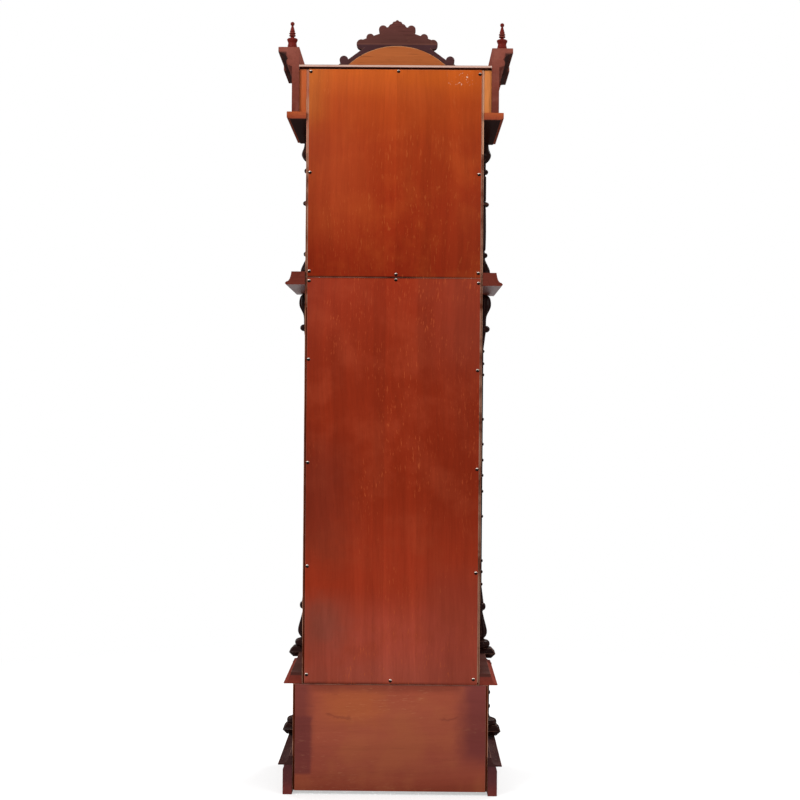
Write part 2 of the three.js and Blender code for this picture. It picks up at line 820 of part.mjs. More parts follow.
// The crest's outline, worked from its peak down one side and back along the arch.
function crestShape() {
  const onArch = (radius, angle) => {
    const point = polar(radius, angle);
    return [point.x, archCentreZ + point.y];
  };
  const footAngle = (radius) => Math.asin((crestFootZ - archCentreZ) / radius);
  const innerRadius = archRadius + seatGap;
  // Lobes stand on the band at an angle from the peak. Each turns from one angle to another.
  const lobes = [
    { at: 9.1, rise: 33.5, radius: 13.4, from: 150, to: -60 },
    { at: 18.6, rise: 18, radius: 12.6, from: 150, to: -10 },
    { at: 26, rise: 10, radius: 15, from: 110, to: -120 },
    { at: 42.8, rise: -1.3, radius: 13.8, from: 170, to: -60 },
  ];
  const peak = [
    { at: 0, drop: 0 },
    { at: 2.9, drop: 6.5 },
    { at: 5.6, drop: 20.5 },
  ];
  const radians = THREE.MathUtils.degToRad;
  const half = peak.map(({ at, drop }) => onArch(crestOuter + crestRise - drop, radians(90 - at)));
  for (const { at, rise, radius, from, to } of lobes) {
    const [x, z] = onArch(crestOuter + rise, radians(90 - at));
    for (let i = 0; i <= lobeSteps; i += 1) {
      const turn = polar(radius, radians(from + ((to - from) * i) / lobeSteps));
      half.push([x + turn.x, z + turn.y]);
    }
  }
  const outerFoot = footAngle(crestOuter);
  const bandStart = radians(43);
  const bandSteps = 3;
  for (let i = 0; i <= bandSteps; i += 1) {
    half.push(onArch(crestOuter, bandStart + ((outerFoot - bandStart) * i) / bandSteps));
  }
  const inner = [];
  const innerFoot = footAngle(innerRadius);
  for (let i = 0; i <= archSteps; i += 1) {
    inner.push(onArch(innerRadius, innerFoot + ((Math.PI - 2 * innerFoot) * i) / archSteps));
  }
  const left = half.slice(1).reverse().map(([x, z]) => [-x, z]);
  return new THREE.Shape([...half, ...inner, ...left].map((point) => new THREE.Vector2(...point)));
}

// Turned columns and finials

function addColumns() {
  const baseColumn = engagedBaseColumn();
  const waistColumn = waistColumnRight();
  const corniceEnd = box([0, corniceEndX + seatGap], [2 * frontY, 0], [lowerCorniceZ - seatGap, lowerCorniceTopZ]);
  const hoodColumn = cut(turned(hoodColumnProfile(), columnX, columnY, columnSides), corniceEnd);
  const kinds = { base: baseColumn, waist: waistColumn, hood: hoodColumn };
  for (const [kind, geometry] of Object.entries(kinds)) {
    addWood(kind + "_column_right", geometry, woods.dark);
    addWood(kind + "_column_left", mirrored(geometry), woods.dark);
  }
}

function engagedBaseColumn() {
  const low = plinthBlockZ[1];
  const top = baseTopZ - seatGap;
  const cupHeight = footHeight * 0.8;
  const shaftZ = low + footHeight + cupHeight;
  const capZ = top - baseCapHeight;
  const ringZ = (share) => shaftZ + share * (capZ - shaftZ);
  const ringRadius = baseShaftRadius + baseRingReach;
  const ring = (share) => bead(ringZ(share), ringRadius, baseRingHalf, baseShaftRadius);
  const profile = [
    [0, low - overcut],
    ...bead(low + footHeight * 0.4, footRadius, footHeight / 2, footRadius * 0.8),
    ...curve(
      [footRadius * 0.7, low + footHeight],
      [baseShaftRadius, low + footHeight],
      [baseShaftRadius, shaftZ],
    ),
    ...ring(0.14),
    ...ring(0.43),
    ...ring(0.9),
    [baseShaftRadius + baseCapReach, capZ],
    [baseShaftRadius + baseCapReach, top],
    [0, top],
  ];
  const shaft = turned(profile, baseColumnX, baseColumnY, columnSides);
  const block = bevelledBlock(plinthBlockX, plinthBlockY, plinthBlockZ, blockBevel);
  const far = 2 * baseHalf;
  const cleared = [
    box([0, baseInner], [baseFrontY - seatGap, far], [0, baseTopZ]),
    box([0, baseHalf + seatGap], [baseSideFrontY - seatGap, far], [0, baseTopZ]),
    box([0, plinthBlockX[0]], [2 * frontY, far], [low, baseTopZ]),
  ];
  return cut(join(shaft, block), ...cleared);
}

function waistColumnRight() {
  const low = blockZ[1];
  const high = hoodMouldZ - seatGap;
  const vaseZ = low + torusHeight + fillet;
  const lowerBallZ = vaseZ + vaseHeight + ballHalf + fillet;
  const upperBallZ = high - bellHeight - ballHalf - fillet;
  const middle = (lowerBallZ + upperBallZ) / 2;
  const shaftHalf = (upperBallZ - lowerBallZ) / 2;
  const shares = [0.055, 0.17, 0.35, 0.67, 0.75, 0.84];
  const beadShares = [...shares.map((share) => -share).reverse(), ...shares];
  const ring = (share) => bead(middle + share * shaftHalf, shaftBeadRadius, shaftBeadHalf, shaftRadius, 2);
  const vase = [
    [vaseRadius * 0.63, vaseZ],
    [vaseRadius * 0.95, vaseZ + vaseHeight * 0.15],
    [vaseRadius, vaseZ + vaseHeight * 0.34],
    [vaseRadius * 0.7, vaseZ + vaseHeight * 0.72],
    [vaseNeck, vaseZ + vaseHeight],
  ];
  const bellZ = high - bellHeight;
  const bell = [
    [bellRadius * 0.48, bellZ],
    [bellRadius * 0.55, bellZ + bellHeight * 0.28],
    [bellRadius, bellZ + bellHeight * 0.6],
    [bellRadius * 0.94, bellZ + bellHeight * 0.88],
    [bellRadius * 0.65, high],
  ];
  const profile = [
    [0, low - overcut],
    ...bead(low + torusHeight / 2, torusRadius, torusHeight / 2, torusRadius * 0.73),
    ...smooth(vase, 8),
    ...bead(lowerBallZ, lowerBallRadius, ballHalf, ballCore),
    ...beadShares.flatMap(ring),
    ...bead(upperBallZ, upperBallRadius, ballHalf, ballCore),
    ...smooth(bell, 8),
    [0, high],
  ];
  const shaft = turned(profile, columnX, columnY, columnSides);
  const block = bevelledBlock(blockX, blockY, blockZ, blockBevel);
  const doorSide = box([0, caseInner], [2 * frontY, 0], [low, hoodMouldZ]);
  const caseSide = box([0, 2 * caseHalf], [caseFrontY - seatGap, 0], [low, hoodMouldZ]);
  return cut(join(shaft, block), doorSide, caseSide);
}

function hoodColumnProfile() {
  const low = hoodMouldTopZ + seatGap;
  const high = lowerCorniceSideZ - seatGap;
  const foot = [
    [hoodFootRadius, low + hoodFootHeight * 0.32],
    [hoodFootRadius * 0.86, low + hoodFootHeight * 0.61],
    [hoodNeck, low + hoodFootHeight],
  ];
  const lowRingZ = low + hoodFootHeight + 1.75 * hoodRingHalf;
  const capZ = high - hoodCapHeight;
  const highRingZ = capZ - 3.4 * hoodRingHalf;
  const middleRingZ = THREE.MathUtils.lerp(lowRingZ, highRingZ, hoodMiddleRingShare);
  const cap = [
    [hoodNeck, capZ],
    [hoodCapRadius * 0.8, capZ + hoodCapHeight * 0.16],
    [hoodCapRadius, capZ + hoodCapHeight * 0.4],
    [hoodCapRadius * 0.78, capZ + hoodCapHeight * 0.72],
    [hoodCapRadius * 0.7, high],
  ];
  return [
    [0, low],
    [hoodFootRadius, low],
    ...smooth(foot, 5),
    ...bead(lowRingZ, hoodRingRadius, hoodRingHalf, hoodNeck),
    [hoodNeck - fillet / 2, lowRingZ + 1.5 * hoodRingHalf],
    [hoodShaftRadius, lowRingZ + 3 * hoodRingHalf],
    [hoodShaftRadius * 1.07, (lowRingZ + middleRingZ) / 2],
    [hoodShaftRadius, middleRingZ - 2 * hoodRingHalf],
    ...bead(middleRingZ, hoodMiddleRingRadius, hoodRingHalf, hoodNeck),
    [hoodShaftRadius, middleRingZ + 2 * hoodRingHalf],
    [hoodShaftRadius, highRingZ - 2 * hoodRingHalf],
    [hoodNeck - fillet / 2, highRingZ - 1.25 * hoodRingHalf],
    ...bead(highRingZ, hoodRingRadius, hoodRingHalf, hoodNeck),
    [hoodNeck, highRingZ + 1.5 * hoodRingHalf],
    ...smooth(cap, 5),
    [0, high],
  ];
}

function addFinials() {
  const low = upperCorniceTopZ + seatGap;
  const top = low + finialHeight;
  const z = (share) => low + share * finialHeight;
  const urn = [
    [finialUrnRadius * 0.7, z(0.085)],
    [finialUrnRadius, z(0.206)],
    [finialUrnRadius * 0.9, z(0.29)],
    [finialUrnRadius * 0.38, z(0.4)],
  ];
  const cup = [
    [finialCupRadius * 0.6, z(0.485)],
    [finialCupRadius * 0.89, z(0.54)],
    [finialCupRadius, z(0.588)],
    [finialCupRadius * 0.55, z(0.618)],
  ];
  const ringHalf = finialHeight * 0.018;
  const ringRadius = finialTipRadius * 1.6;
  const profile = [
    [0, low],
    [finialFootRadius, low],
    [finialFootRadius, z(0.048)],
    ...smooth(urn, 6),
    [finialCupRadius * 0.58, z(0.46)],
    ...smooth(cup, 4),
    [finialCupRadius * 0.28, z(0.648)],
    ...bead(z(0.685), ringRadius, ringHalf, ringRadius * 0.6, 3),
    ...bead(z(0.727), ringRadius, ringHalf, ringRadius * 0.6, 3),
    [ringRadius * 0.8, z(0.764)],
    [finialTipRadius * 0.46, top - 1.92 * finialTipRadius],
    ...bead(top - finialTipRadius, finialTipRadius, finialTipRadius * 0.98, finialTipRadius * 0.15, 5),
    [0, top],
  ];
  const x = corniceBreak + upperCorniceReach - finialInset;
  const y = frontY + cornerBlockLength / 2;
  addWood("finial_right", turned(profile, x, y, columnSides), woods.dark);
  addWood("finial_left", turned(profile, -x, y, columnSides), woods.dark);
}

// A glazed door between two mouldings, hung on a long hinge at the clock's right.
function addDoor(kind, lowZ, highZ, stile, hingeInset) {
  const rearY = caseFrontY - seatGap;
  const faceY = rearY - doorThick;
  const z0 = lowZ + doorEndGap;
  const z1 = highZ - doorEndGap;
  const openHalf = doorHalf - stile;
  const slab = box([-doorHalf, doorHalf], [faceY, rearY], [z0, z1]);
  const light = box([-openHalf, openHalf], [faceY - overcut, rearY + overcut], [z0 + stile, z1 - stile]);
  addWood(kind + "_door_frame", cut(slab, light), woods.frame);

  const paneY = (faceY + rearY) / 2;
  const paneHalf = openHalf - seatGap;
  const pane = box(
    [-paneHalf, paneHalf],
    [paneY - glassThick / 2, paneY + glassThick / 2],
    [z0 + stile + seatGap, z1 - stile - seatGap],
  );
  addPart(kind + "_door_glass", pane, 0xdfe9e6, 0.05, 0);

  const knobY = faceY - seatGap;
  const knob = turnedAcross(
    [
      [0, knobY],
      [knobRadius * 0.8, knobY],
      [knobRadius * 0.8, knobY - knobLength * 0.12],
      [knobRadius * 0.4, knobY - knobLength * 0.19],
      [knobRadius * 0.4, knobY - knobLength * 0.4],
      ...smooth(
        [
          [knobRadius * 0.8, knobY - knobLength * 0.5],
          [knobRadius, knobY - knobLength * 0.72],
          [knobRadius * 0.6, knobY - knobLength * 0.95],
        ],
        4,
      ),
      [0, knobY - knobLength],
    ],
    knobInset - doorHalf,
    (z0 + z1) / 2,
    12,
  );
  addBrass(kind + "_door_knob", knob);

  const axisX = doorHalf + hingeSide;
  const axisY = faceY - hingeReach;
  const spanZ = [z0 + hingeInset, z1 - hingeInset];
  const leafX = [caseInner - seatGap - hingeLeafThick, caseInner - seatGap];
  const leaf = box(leafX, [axisY, caseFrontY + hingeLeafDepth], spanZ);
  addBrass(kind + "_door_hinge", join(rodUpright(hingeRadius, spanZ, axisX, axisY), leaf));
}

// Movement, dial, hands, weights, pendulum and striking work

function addMovement() {
  const frontPlateY = dialY + movementSetback;
  const frontPlate = [frontPlateY, frontPlateY + plateThick];
  const backPlate = [frontPlate[1] + plateSpacing, frontPlate[1] + plateSpacing + plateThick];
  const seatboardY = [dialY + seatboardSetback, backPlate[1] + seatboardOverhang];
  const plateHalf = barrelX + flangeRadius + plateMargin;
  const lowZ = seatboardTopZ + seatGap;
  const highZ = lowZ + plateHeight;
  const centre = [0, dialCentreZ];
  const thirdReach = ((centreTeeth + pinionTeeth) * trainModule) / 2 + meshSlack;
  const escapeReach = ((thirdTeeth + pinionTeeth) * escapeModule) / 2 + meshSlack;
  const third = [thirdReach * Math.cos(thirdAngle), dialCentreZ + thirdReach * Math.sin(thirdAngle)];
  const escape = [0, third[1] + Math.sqrt(escapeReach ** 2 - third[0] ** 2)];
  const pivot = [0, escape[1] + anchorRise];
  const barrelZ = seatboardTopZ + flangeRadius + barrelFloat;
  const cableReach = barrelX + barrelRadius + cableRadius + seatGap;
  const cableY = (frontPlate[1] + backPlate[0]) / 2;
  const cannonInner = arborRadius + runGap;
  const cannonOuter = cannonInner + pipeWall;
  const hourInner = cannonOuter + runGap;
  const hourOuter = hourInner + pipeWall;
  const minuteReach = ((cannonTeeth + minuteTeeth) * motionModule) / 2 + meshSlack;
  const minuteStud = [-minuteReach, dialCentreZ];
  const minuteHandY = dialY - handDialGap - handGap - 2 * handThick; // its front face
  const pendulumY = backPlate[1] + pendulumSetback;
  const gongY = pendulumY + gongSetback;
  const hammerX = plateHalf - hammerInset;
  const hammerZ = seatboardZ + hammerRise;
  const gongX = hammerX + gongOffset;
  const arborY = [frontPlate[0] - plateThick / 2, backPlate[1] + plateThick / 2];

  addSeatboard();
  addPlates();
  addTrain();
  addMotionWork();
  addDial();
  addBarrels();
  addPendulum();
  addStrike();

  function addSeatboard() {
    const half = caseInner - seatGap;
    const zs = [seatboardZ, seatboardTopZ];
    const slots = [-1, 1].map((hand) =>
      box(
        [hand * cableReach - slotHalf, hand * cableReach + slotHalf],
        [cableY - 2 * slotHalf, cableY + 2 * slotHalf],
        [zs[0] - overcut, zs[1] + overcut],
      ),
    );
    const seat = box([-half, half], seatboardY, zs);
    addWood("seatboard", cut(seat, ...slots), woods.panel);
  }

  function arborHoles(ys) {
    const through = [ys[0] - overcut, ys[1] + overcut];
    const hole = ([x, z], radius) => rodAcross(radius + runGap, through, x, z);
    return [
      hole(centre, arborRadius),
      hole(third, arborRadius),
      hole(escape, arborRadius),
      hole(pivot, arborRadius),
      hole([-barrelX, barrelZ], windingRadius),
      hole([barrelX, barrelZ], windingRadius),
    ];
  }

  function addPlates() {
    const front = box([-plateHalf, plateHalf], frontPlate, [lowZ, highZ]);
    const studLength = 3 * motionGap + 2 * wheelThick + pipeWall;
    const stud = rodAcross(arborRadius, [frontPlateY - studLength, frontPlate[1]], ...minuteStud);
    addBrass("movement_front_plate", join(cut(front, ...arborHoles(frontPlate)), stud));

    const back = box([-plateHalf, plateHalf], backPlate, [lowZ, highZ]);
    const px = plateHalf - pillarInset;
    const pillars = [-px, px].flatMap((x) =>
      [lowZ + pillarInset, highZ - pillarInset].map((z) =>
        rodAcross(pillarRadius, [frontPlate[1] + seatGap, backPlate[1]], x, z, 10),
      ),
    );
    const cockY = pendulumY + eyeLength / 2 + cockGap;
    const cockZ = pivot[1] + eyeRadius + cockGap;
    const cock = [
      box([-cockHalf, cockHalf], [backPlate[0], cockY + cockThick], [cockZ, cockZ + cockThick]),
      box([-cockHalf, cockHalf], [cockY, cockY + cockThick], [pivot[1] - cockHalf, cockZ + cockThick]),
      rodAcross(studRadius, [pendulumY - eyeLength, cockY + overcut], ...pivot),
    ];
    const hammerStud = rodAcross(hammerStudRadius, [backPlate[0], gongY + hammerStudTail], hammerX, hammerZ);
    const plate = cut(back, ...arborHoles(backPlate));
    addBrass("movement_back_plate", join(plate, ...pillars, ...cock, hammerStud));
  }

  function addTrain() {
    const wheelBehind = (y, setback) => [y + setback, y + setback + wheelThick];
    const centreY = wheelBehind(frontPlate[1], centreWheelSetback);
    const thirdY = wheelBehind(centreY[1], thirdWheelSetback);
    const escapeY = wheelBehind(thirdY[1], escapeWheelSetback);
    const around = (ys) => {
      const middle = (ys[0] + ys[1]) / 2;
      return [middle - pinionThick / 2, middle + pinionThick / 2];
    };
    const up = thirdAngle;
    const toEscape = Math.atan2(escape[1] - third[1], escape[0] - third[0]);

    const centrePhase = up;
    const thirdPinionPhase = meshPhase(up, centrePhase, centreTeeth, pinionTeeth);
    const thirdPhase = thirdPinionPhase;
    const escapePinionPhase = meshPhase(toEscape, thirdPhase, thirdTeeth, pinionTeeth);

    const centreWheel = wheel(centreTeeth, trainModule, centrePhase, centreY, centre);
    const centreArbor = rodAcross(arborRadius, [minuteHandY - overcut, arborY[1]], ...centre);
    addBrass("centre_wheel", join(centreWheel, centreArbor));

    const thirdPinion = wheel(pinionTeeth, trainModule, thirdPinionPhase, around(centreY), third);
    const thirdWheel = wheel(thirdTeeth, escapeModule, thirdPhase, thirdY, third);
    addBrass("third_wheel", join(thirdWheel, thirdPinion, rodAcross(arborRadius, arborY, ...third)));

    const escapePinion = wheel(pinionTeeth, escapeModule, escapePinionPhase, around(thirdY), escape);
    const escapeWheel = board(escapeShape(), escapeY).translate(escape[0], 0, escape[1]);
    const escapeArbor = rodAcross(arborRadius, arborY, ...escape);
    addBrass("escape_wheel", join(escapeWheel, escapePinion, escapeArbor));
    addAnchor(escapeY);
  }

  // The anchor's pallets stand clear of the escape wheel's teeth, one each side of its top.
  function addAnchor(escapeY) {
    const reach = escapeRadius + palletGap;
    const span = reach * Math.sin(anchorSpan);
    const palletZ = escape[1] + reach * Math.cos(anchorSpan) - palletGap;
    const halfOutline = [
      [span + palletWidth, palletZ + palletHeight],
      [span + palletWidth, palletZ],
      [span + palletWidth / 5, palletZ],
      [span, palletZ + palletHeight * 0.65],
    ];
    const outline = new THREE.Shape();
    outline.moveTo(0, pivot[1] + palletWidth);
    halfOutline.forEach(([x, z]) => outline.lineTo(x, z));
    outline.lineTo(0, pivot[1] - palletWidth);
    [...halfOutline].reverse().forEach(([x, z]) => outline.lineTo(-x, z));
    const crutchY = [backPlate[1] + crutchSetback, backPlate[1] + crutchSetback + crutchThick];
    const footZ = pivot[1] - crutchLength;
    const slot = rodRadius + runGap;
    const prongY = [crutchY[0], pendulumY + 2 * rodRadius];
    const prongZ = [footZ, footZ + crutchThick];
    const pieces = [
      rodAcross(arborRadius, [arborY[0], crutchY[1]], ...pivot),
      box([-crutchThick, crutchThick], crutchY, [footZ, pivot[1] + crutchThick]),
      box([-slot - forkProng, slot + forkProng], crutchY, prongZ),
      box([slot, slot + forkProng], prongY, prongZ),
      box([-slot - forkProng, -slot], prongY, prongZ),
    ];
    addSteel("pallet_anchor", join(board(outline, escapeY), ...pieces));
  }

  function escapeShape() {
    const pitch = (2 * Math.PI) / escapeTeeth;
    const points = [];
    for (let i = 0; i < escapeTeeth; i += 1) {
      const angle = i * pitch;
      const root = escapeRadius - escapeToothDepth;
      points.push(polar(root, angle), polar(escapeRadius, angle), polar(root, angle + 0.35 * pitch));
    }
    return new THREE.Shape(points);
  }

  // Cannon pinion, minute wheel and hour wheel between the front plate and the dial
  function addMotionWork() {
    const wheelBefore = (y) => [y - motionGap - wheelThick, y - motionGap];
    const nearY = wheelBefore(frontPlateY);
    const farY = wheelBefore(nearY[0]);
    const longY = [farY[0] - pipeWall, farY[1] + pipeWall];
    const toMinute = Math.PI;
    const minutePhase = meshPhase(toMinute, toMinute, cannonTeeth, minuteTeeth);
    const pinionPhase = 0;
    const hourPhase = meshPhase(0, pinionPhase, minutePinionTeeth, hourTeeth);
    const bore = rodAcross(arborRadius + runGap, [longY[0] - overcut, nearY[1] + overcut], ...minuteStud);
    const minuteWheel = join(
      wheel(minuteTeeth, motionModule, minutePhase, nearY, minuteStud),
      wheel(minutePinionTeeth, hourModule, pinionPhase, longY, minuteStud),
      rodAcross(arborRadius + runGap + minuteHubWall, [longY[0], nearY[1]], ...minuteStud),
    );
    addBrass("minute_wheel", cut(minuteWheel, bore));

    const minuteY = [minuteHandY, minuteHandY + handThick];
    const hourY = [minuteY[1] + handGap, minuteY[1] + handGap + handThick];
    const minuteHand = cut(
      join(
        board(handShape(minuteHandLength, minuteHandHalf, minuteBoss), minuteY).translate(0, 0, dialCentreZ),
        rodAcross(cannonOuter, [minuteY[0], nearY[1] + pipeWall], ...centre),
        wheel(cannonTeeth, motionModule, toMinute, nearY, centre),
      ),
      rodAcross(cannonInner, [minuteY[0] - overcut, nearY[1] + pipeWall + overcut], ...centre),
    );
    addSteel("minute_hand", minuteHand);
    const hourHand = cut(
      join(
        board(handShape(hourHandLength, hourHandHalf, hourBoss), hourY).translate(0, 0, dialCentreZ),
        rodAcross(hourOuter, [hourY[0], farY[1]], ...centre),
        wheel(hourTeeth, hourModule, hourPhase, farY, centre),
      ),
      rodAcross(hourInner, [hourY[0] - overcut, farY[1] + overcut], ...centre),
    );
    addSteel("hour_hand", hourHand);
  }

  // A hand that points up: a round boss, a slim stem, a pierced ring and a leaf-shaped tip.
  function handShape(length, halfWidth, boss) {
    const ringZ = length * 0.58;
    const ringRadius = halfWidth * 1.7;
    const stemHalf = halfWidth * 0.42;
    const stemTurn = Math.asin(stemHalf / ringRadius);
    const leafZ = ringZ + 0.45 * (length - ringZ) + ringRadius / 2;
    const upright = Math.PI / 2;
    const bossTurn = Math.atan2(0.95, 0.3);
    const shape = new THREE.Shape();
    shape.absarc(0, ringZ, ringRadius, stemTurn - upright, upright - stemTurn, false);
    shape.quadraticCurveTo(halfWidth * 1.5, leafZ, 0, length);
    shape.quadraticCurveTo(-halfWidth * 1.5, leafZ, -stemHalf, ringZ + ringRadius * Math.cos(stemTurn));
    shape.absarc(0, ringZ, ringRadius, upright + stemTurn, 3 * upright - stemTurn, false);
    shape.absarc(0, 0, boss, Math.PI - bossTurn, 2 * Math.PI + bossTurn, false);
    const hole = new THREE.Path();
    hole.absarc(0, ringZ, ringRadius - 2 * stemHalf, 0, 2 * Math.PI, true);
    shape.holes.push(hole);
    return shape;
  }

  function addDial() {
    const low = hoodMouldTopZ + dialEdgeGap;
    const high = lowerCorniceZ - dialEdgeGap;
    const ys = [dialY, dialY + dialThick];
    const dialHalf = caseInner - dialSideGap;
    const through = [ys[0] - overcut, ys[1] + overcut];
    const plate = cut(
      box([-dialHalf, dialHalf], ys, [low, high]),
      rodAcross(hourOuter + dialHoleGap, through, ...centre),
      rodAcross(windingRadius + dialHoleGap, through, -barrelX, barrelZ),
      rodAcross(windingRadius + dialHoleGap, through, barrelX, barrelZ),
    );
    const feet = [-dialFootX, dialFootX].flatMap((x) =>
      [dialCentreZ - dialFootRise, dialCentreZ + dialFootRise].map((z) =>
        rodAcross(dialFootRadius, [ys[1] - overcut, frontPlateY - seatGap], x, z, 10),
      ),
    );
    addPart("dial_plate", join(plate, ...feet), metals.dial, 0.4, 0);
  }

  function addBarrels() {
    const y0 = cableY - barrelLength / 2;
    const y1 = cableY + barrelLength / 2;
    for (const [name, hand] of [["going", -1], ["strike", 1]]) {
      const profile = [
        [0, dialY + dialThick],
        [windingRadius, dialY + dialThick],
        [windingRadius, y0 - flangeThick],
        [flangeRadius, y0 - flangeThick],
        [flangeRadius, y0],
        [barrelRadius, y0],
        [barrelRadius, y1],
        [flangeRadius, y1],
        [flangeRadius, y1 + flangeThick],
        [windingRadius, y1 + flangeThick],
        [windingRadius, arborY[1]],
        [0, arborY[1]],
      ];
      addBrass(name + "_barrel", turnedAcross(profile, hand * barrelX, barrelZ, 20));

      const cableX = hand * cableReach;
      const weightZ = seatboardZ - weightDrop;
      const shoulder = weightZ + weightHeight;
      const stemTop = shoulder + weightStem;
      const cable = rodUpright(cableRadius, [stemTop + seatGap, barrelZ], cableX, cableY, 8);
      addSteel(name + "_cable", cable);
      const weightProfile = [
        [0, weightZ],
        [weightRadius - weightChamfer, weightZ],
        [weightRadius, weightZ + weightChamfer],
        [weightRadius, shoulder - weightChamfer],
        [weightRadius - weightChamfer, shoulder],
        [weightStemRadius, shoulder],
        [weightStemRadius, stemTop],
        [0, stemTop],
      ];
      const weight = turned(weightProfile, cableX, cableY, 20);
      addBrass(name + "_weight", weight);
    }
  }

  function addPendulum() {
    const bobZ = pivot[1] - pendulumLength;
    const bobLow = bobZ - bobRadius;
    const rodZ = [bobLow - rodTail, pivot[1] - eyeRadius + overcut];
    const eyeY = [pendulumY - eyeLength / 2, pendulumY + eyeLength / 2];
    const eye = pipeAcross(studRadius + runGap, eyeRadius, eyeY, ...pivot);
    addBrass("pendulum_rod", join(rodUpright(rodRadius, rodZ, 0, pendulumY), eye));

    const dome = [
      [0, bobHalfThick],
      [bobRadius * 0.55, bobHalfThick * 0.75],
      [bobRadius, bobEdgeHalf],
    ];
    const rearHalf = smooth(dome, 5);
    const frontHalf = rearHalf.map(([radius, y]) => [radius, -y]);
    const lensProfile = [...frontHalf, ...rearHalf.reverse()].map(([radius, y]) => [radius, pendulumY + y]);
    const lens = turnedAcross(lensProfile, 0, bobZ, 20);
    const bore = rodUpright(rodRadius + runGap, [rodZ[0], bobZ + 2 * bobRadius], 0, pendulumY);
    addBrass("pendulum_bob", cut(lens, bore));
    const nutZ = [bobLow - seatGap - nutHeight, bobLow - seatGap];
    addBrass("rating_nut", pipeUpright(rodRadius + seatGap, nutRadius, nutZ, 0, pendulumY, 12));
  }

  function addStrike() {
    const gongBlockX = [gongX - gongBlockHalf, gongX + gongBlockHalf];
    const gongBlockY = [seatboardY[1] + seatGap, gongY + gongBlockHalf];
    const gongBlockZ = seatboardZ - gongBlockDrop;
    const block = box(gongBlockX, gongBlockY, [gongBlockZ, gongBlockZ + gongBlockHeight]);
    const rodZ = [gongBlockZ - gongRodLength, gongBlockZ + overcut];
    addSteel("gong_rod", join(block, rodUpright(gongRodRadius, rodZ, gongX, gongY)));

    const headZ = hammerZ - hammerArm;
    const headEnd = gongX - gongRodRadius - hammerStrikeGap;
    const hubInner = hammerStudRadius + runGap;
    const hubOuter = hubInner + hammerHubWall;
    const hubY = [gongY - hammerHubHalf, gongY + hammerHubHalf];
    const hub = pipeAcross(hubInner, hubOuter, hubY, hammerX, hammerZ);
    const arm = box(
      [hammerX - hammerArmHalf, hammerX + hammerArmHalf],
      [gongY - hammerArmHalf, gongY + hammerArmHalf],
      [headZ - hammerArmHalf, hammerZ - hubInner - hammerHubWall / 2],
    );
    const headLength = headEnd - hammerX;
    const head = new THREE.CylinderGeometry(hammerHeadRadius, hammerHeadRadius, headLength, 14);
    head.rotateZ(Math.PI / 2).translate(headEnd - headLength / 2, gongY, headZ);
    addBrass("strike_hammer", join(hub, arm, head));
  }
}

function polar(radius, angle) {
  return new THREE.Vector2(radius * Math.cos(angle), radius * Math.sin(angle));
}

// A toothed wheel or pinion at [x, z], with one tooth's middle at the angle toothAt.
function wheel(teeth, moduleSize, toothAt, ys, [x, z]) {
  const pitch = (2 * Math.PI) / teeth;
  const tip = moduleSize * (teeth / 2 + 0.8);
  const root = moduleSize * (teeth / 2 - 1.15);
  const points = [];
  for (let i = 0; i < teeth; i += 1) {
    const angle = toothAt + i * pitch;
    points.push(
      polar(root, angle - 0.27 * pitch),
      polar(tip, angle - 0.09 * pitch),
      polar(tip, angle + 0.09 * pitch),
      polar(root, angle + 0.27 * pitch),
    );
  }
  return board(new THREE.Shape(points), ys).translate(x, 0, z);
}

// The tooth angle of a follower that meshes with a wheel lying in the opposite direction.
function meshPhase(direction, driverPhase, driverTeeth, followerTeeth) {
  const share = (direction - driverPhase) / ((2 * Math.PI) / driverTeeth);
  const offset = share - Math.floor(share) + 0.5;
  return direction + Math.PI + offset * ((2 * Math.PI) / followerTeeth);
}

export default clock;
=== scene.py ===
import json
import math

import bmesh
import bpy
from mathutils import Matrix, Vector


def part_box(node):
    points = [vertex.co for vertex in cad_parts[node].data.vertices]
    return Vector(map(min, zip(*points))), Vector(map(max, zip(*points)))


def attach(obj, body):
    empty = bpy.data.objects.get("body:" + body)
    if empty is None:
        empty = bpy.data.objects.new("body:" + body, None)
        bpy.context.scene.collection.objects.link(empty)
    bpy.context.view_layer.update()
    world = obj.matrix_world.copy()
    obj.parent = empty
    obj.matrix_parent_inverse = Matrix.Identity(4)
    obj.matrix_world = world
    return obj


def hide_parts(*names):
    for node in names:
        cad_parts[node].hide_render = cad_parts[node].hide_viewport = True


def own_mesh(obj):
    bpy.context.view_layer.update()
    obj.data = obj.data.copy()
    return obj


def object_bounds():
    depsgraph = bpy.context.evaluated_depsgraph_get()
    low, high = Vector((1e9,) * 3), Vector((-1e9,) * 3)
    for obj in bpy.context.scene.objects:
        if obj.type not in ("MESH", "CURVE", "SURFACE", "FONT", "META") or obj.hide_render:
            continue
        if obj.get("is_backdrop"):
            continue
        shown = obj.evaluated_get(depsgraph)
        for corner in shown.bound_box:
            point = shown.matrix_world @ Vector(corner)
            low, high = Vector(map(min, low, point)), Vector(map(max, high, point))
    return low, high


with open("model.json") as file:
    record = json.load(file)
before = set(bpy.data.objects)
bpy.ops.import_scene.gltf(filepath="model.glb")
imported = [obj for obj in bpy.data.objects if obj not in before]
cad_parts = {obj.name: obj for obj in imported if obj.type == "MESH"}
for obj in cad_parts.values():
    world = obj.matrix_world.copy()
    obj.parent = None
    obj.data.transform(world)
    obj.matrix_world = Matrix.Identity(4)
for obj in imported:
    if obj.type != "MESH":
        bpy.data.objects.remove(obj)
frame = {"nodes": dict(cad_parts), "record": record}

scene = bpy.context.scene
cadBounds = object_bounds()
bodyOf = {node: body for body, group in frame["record"]["behaviour"]["bodies"].items() for node in group}


# Node building blocks

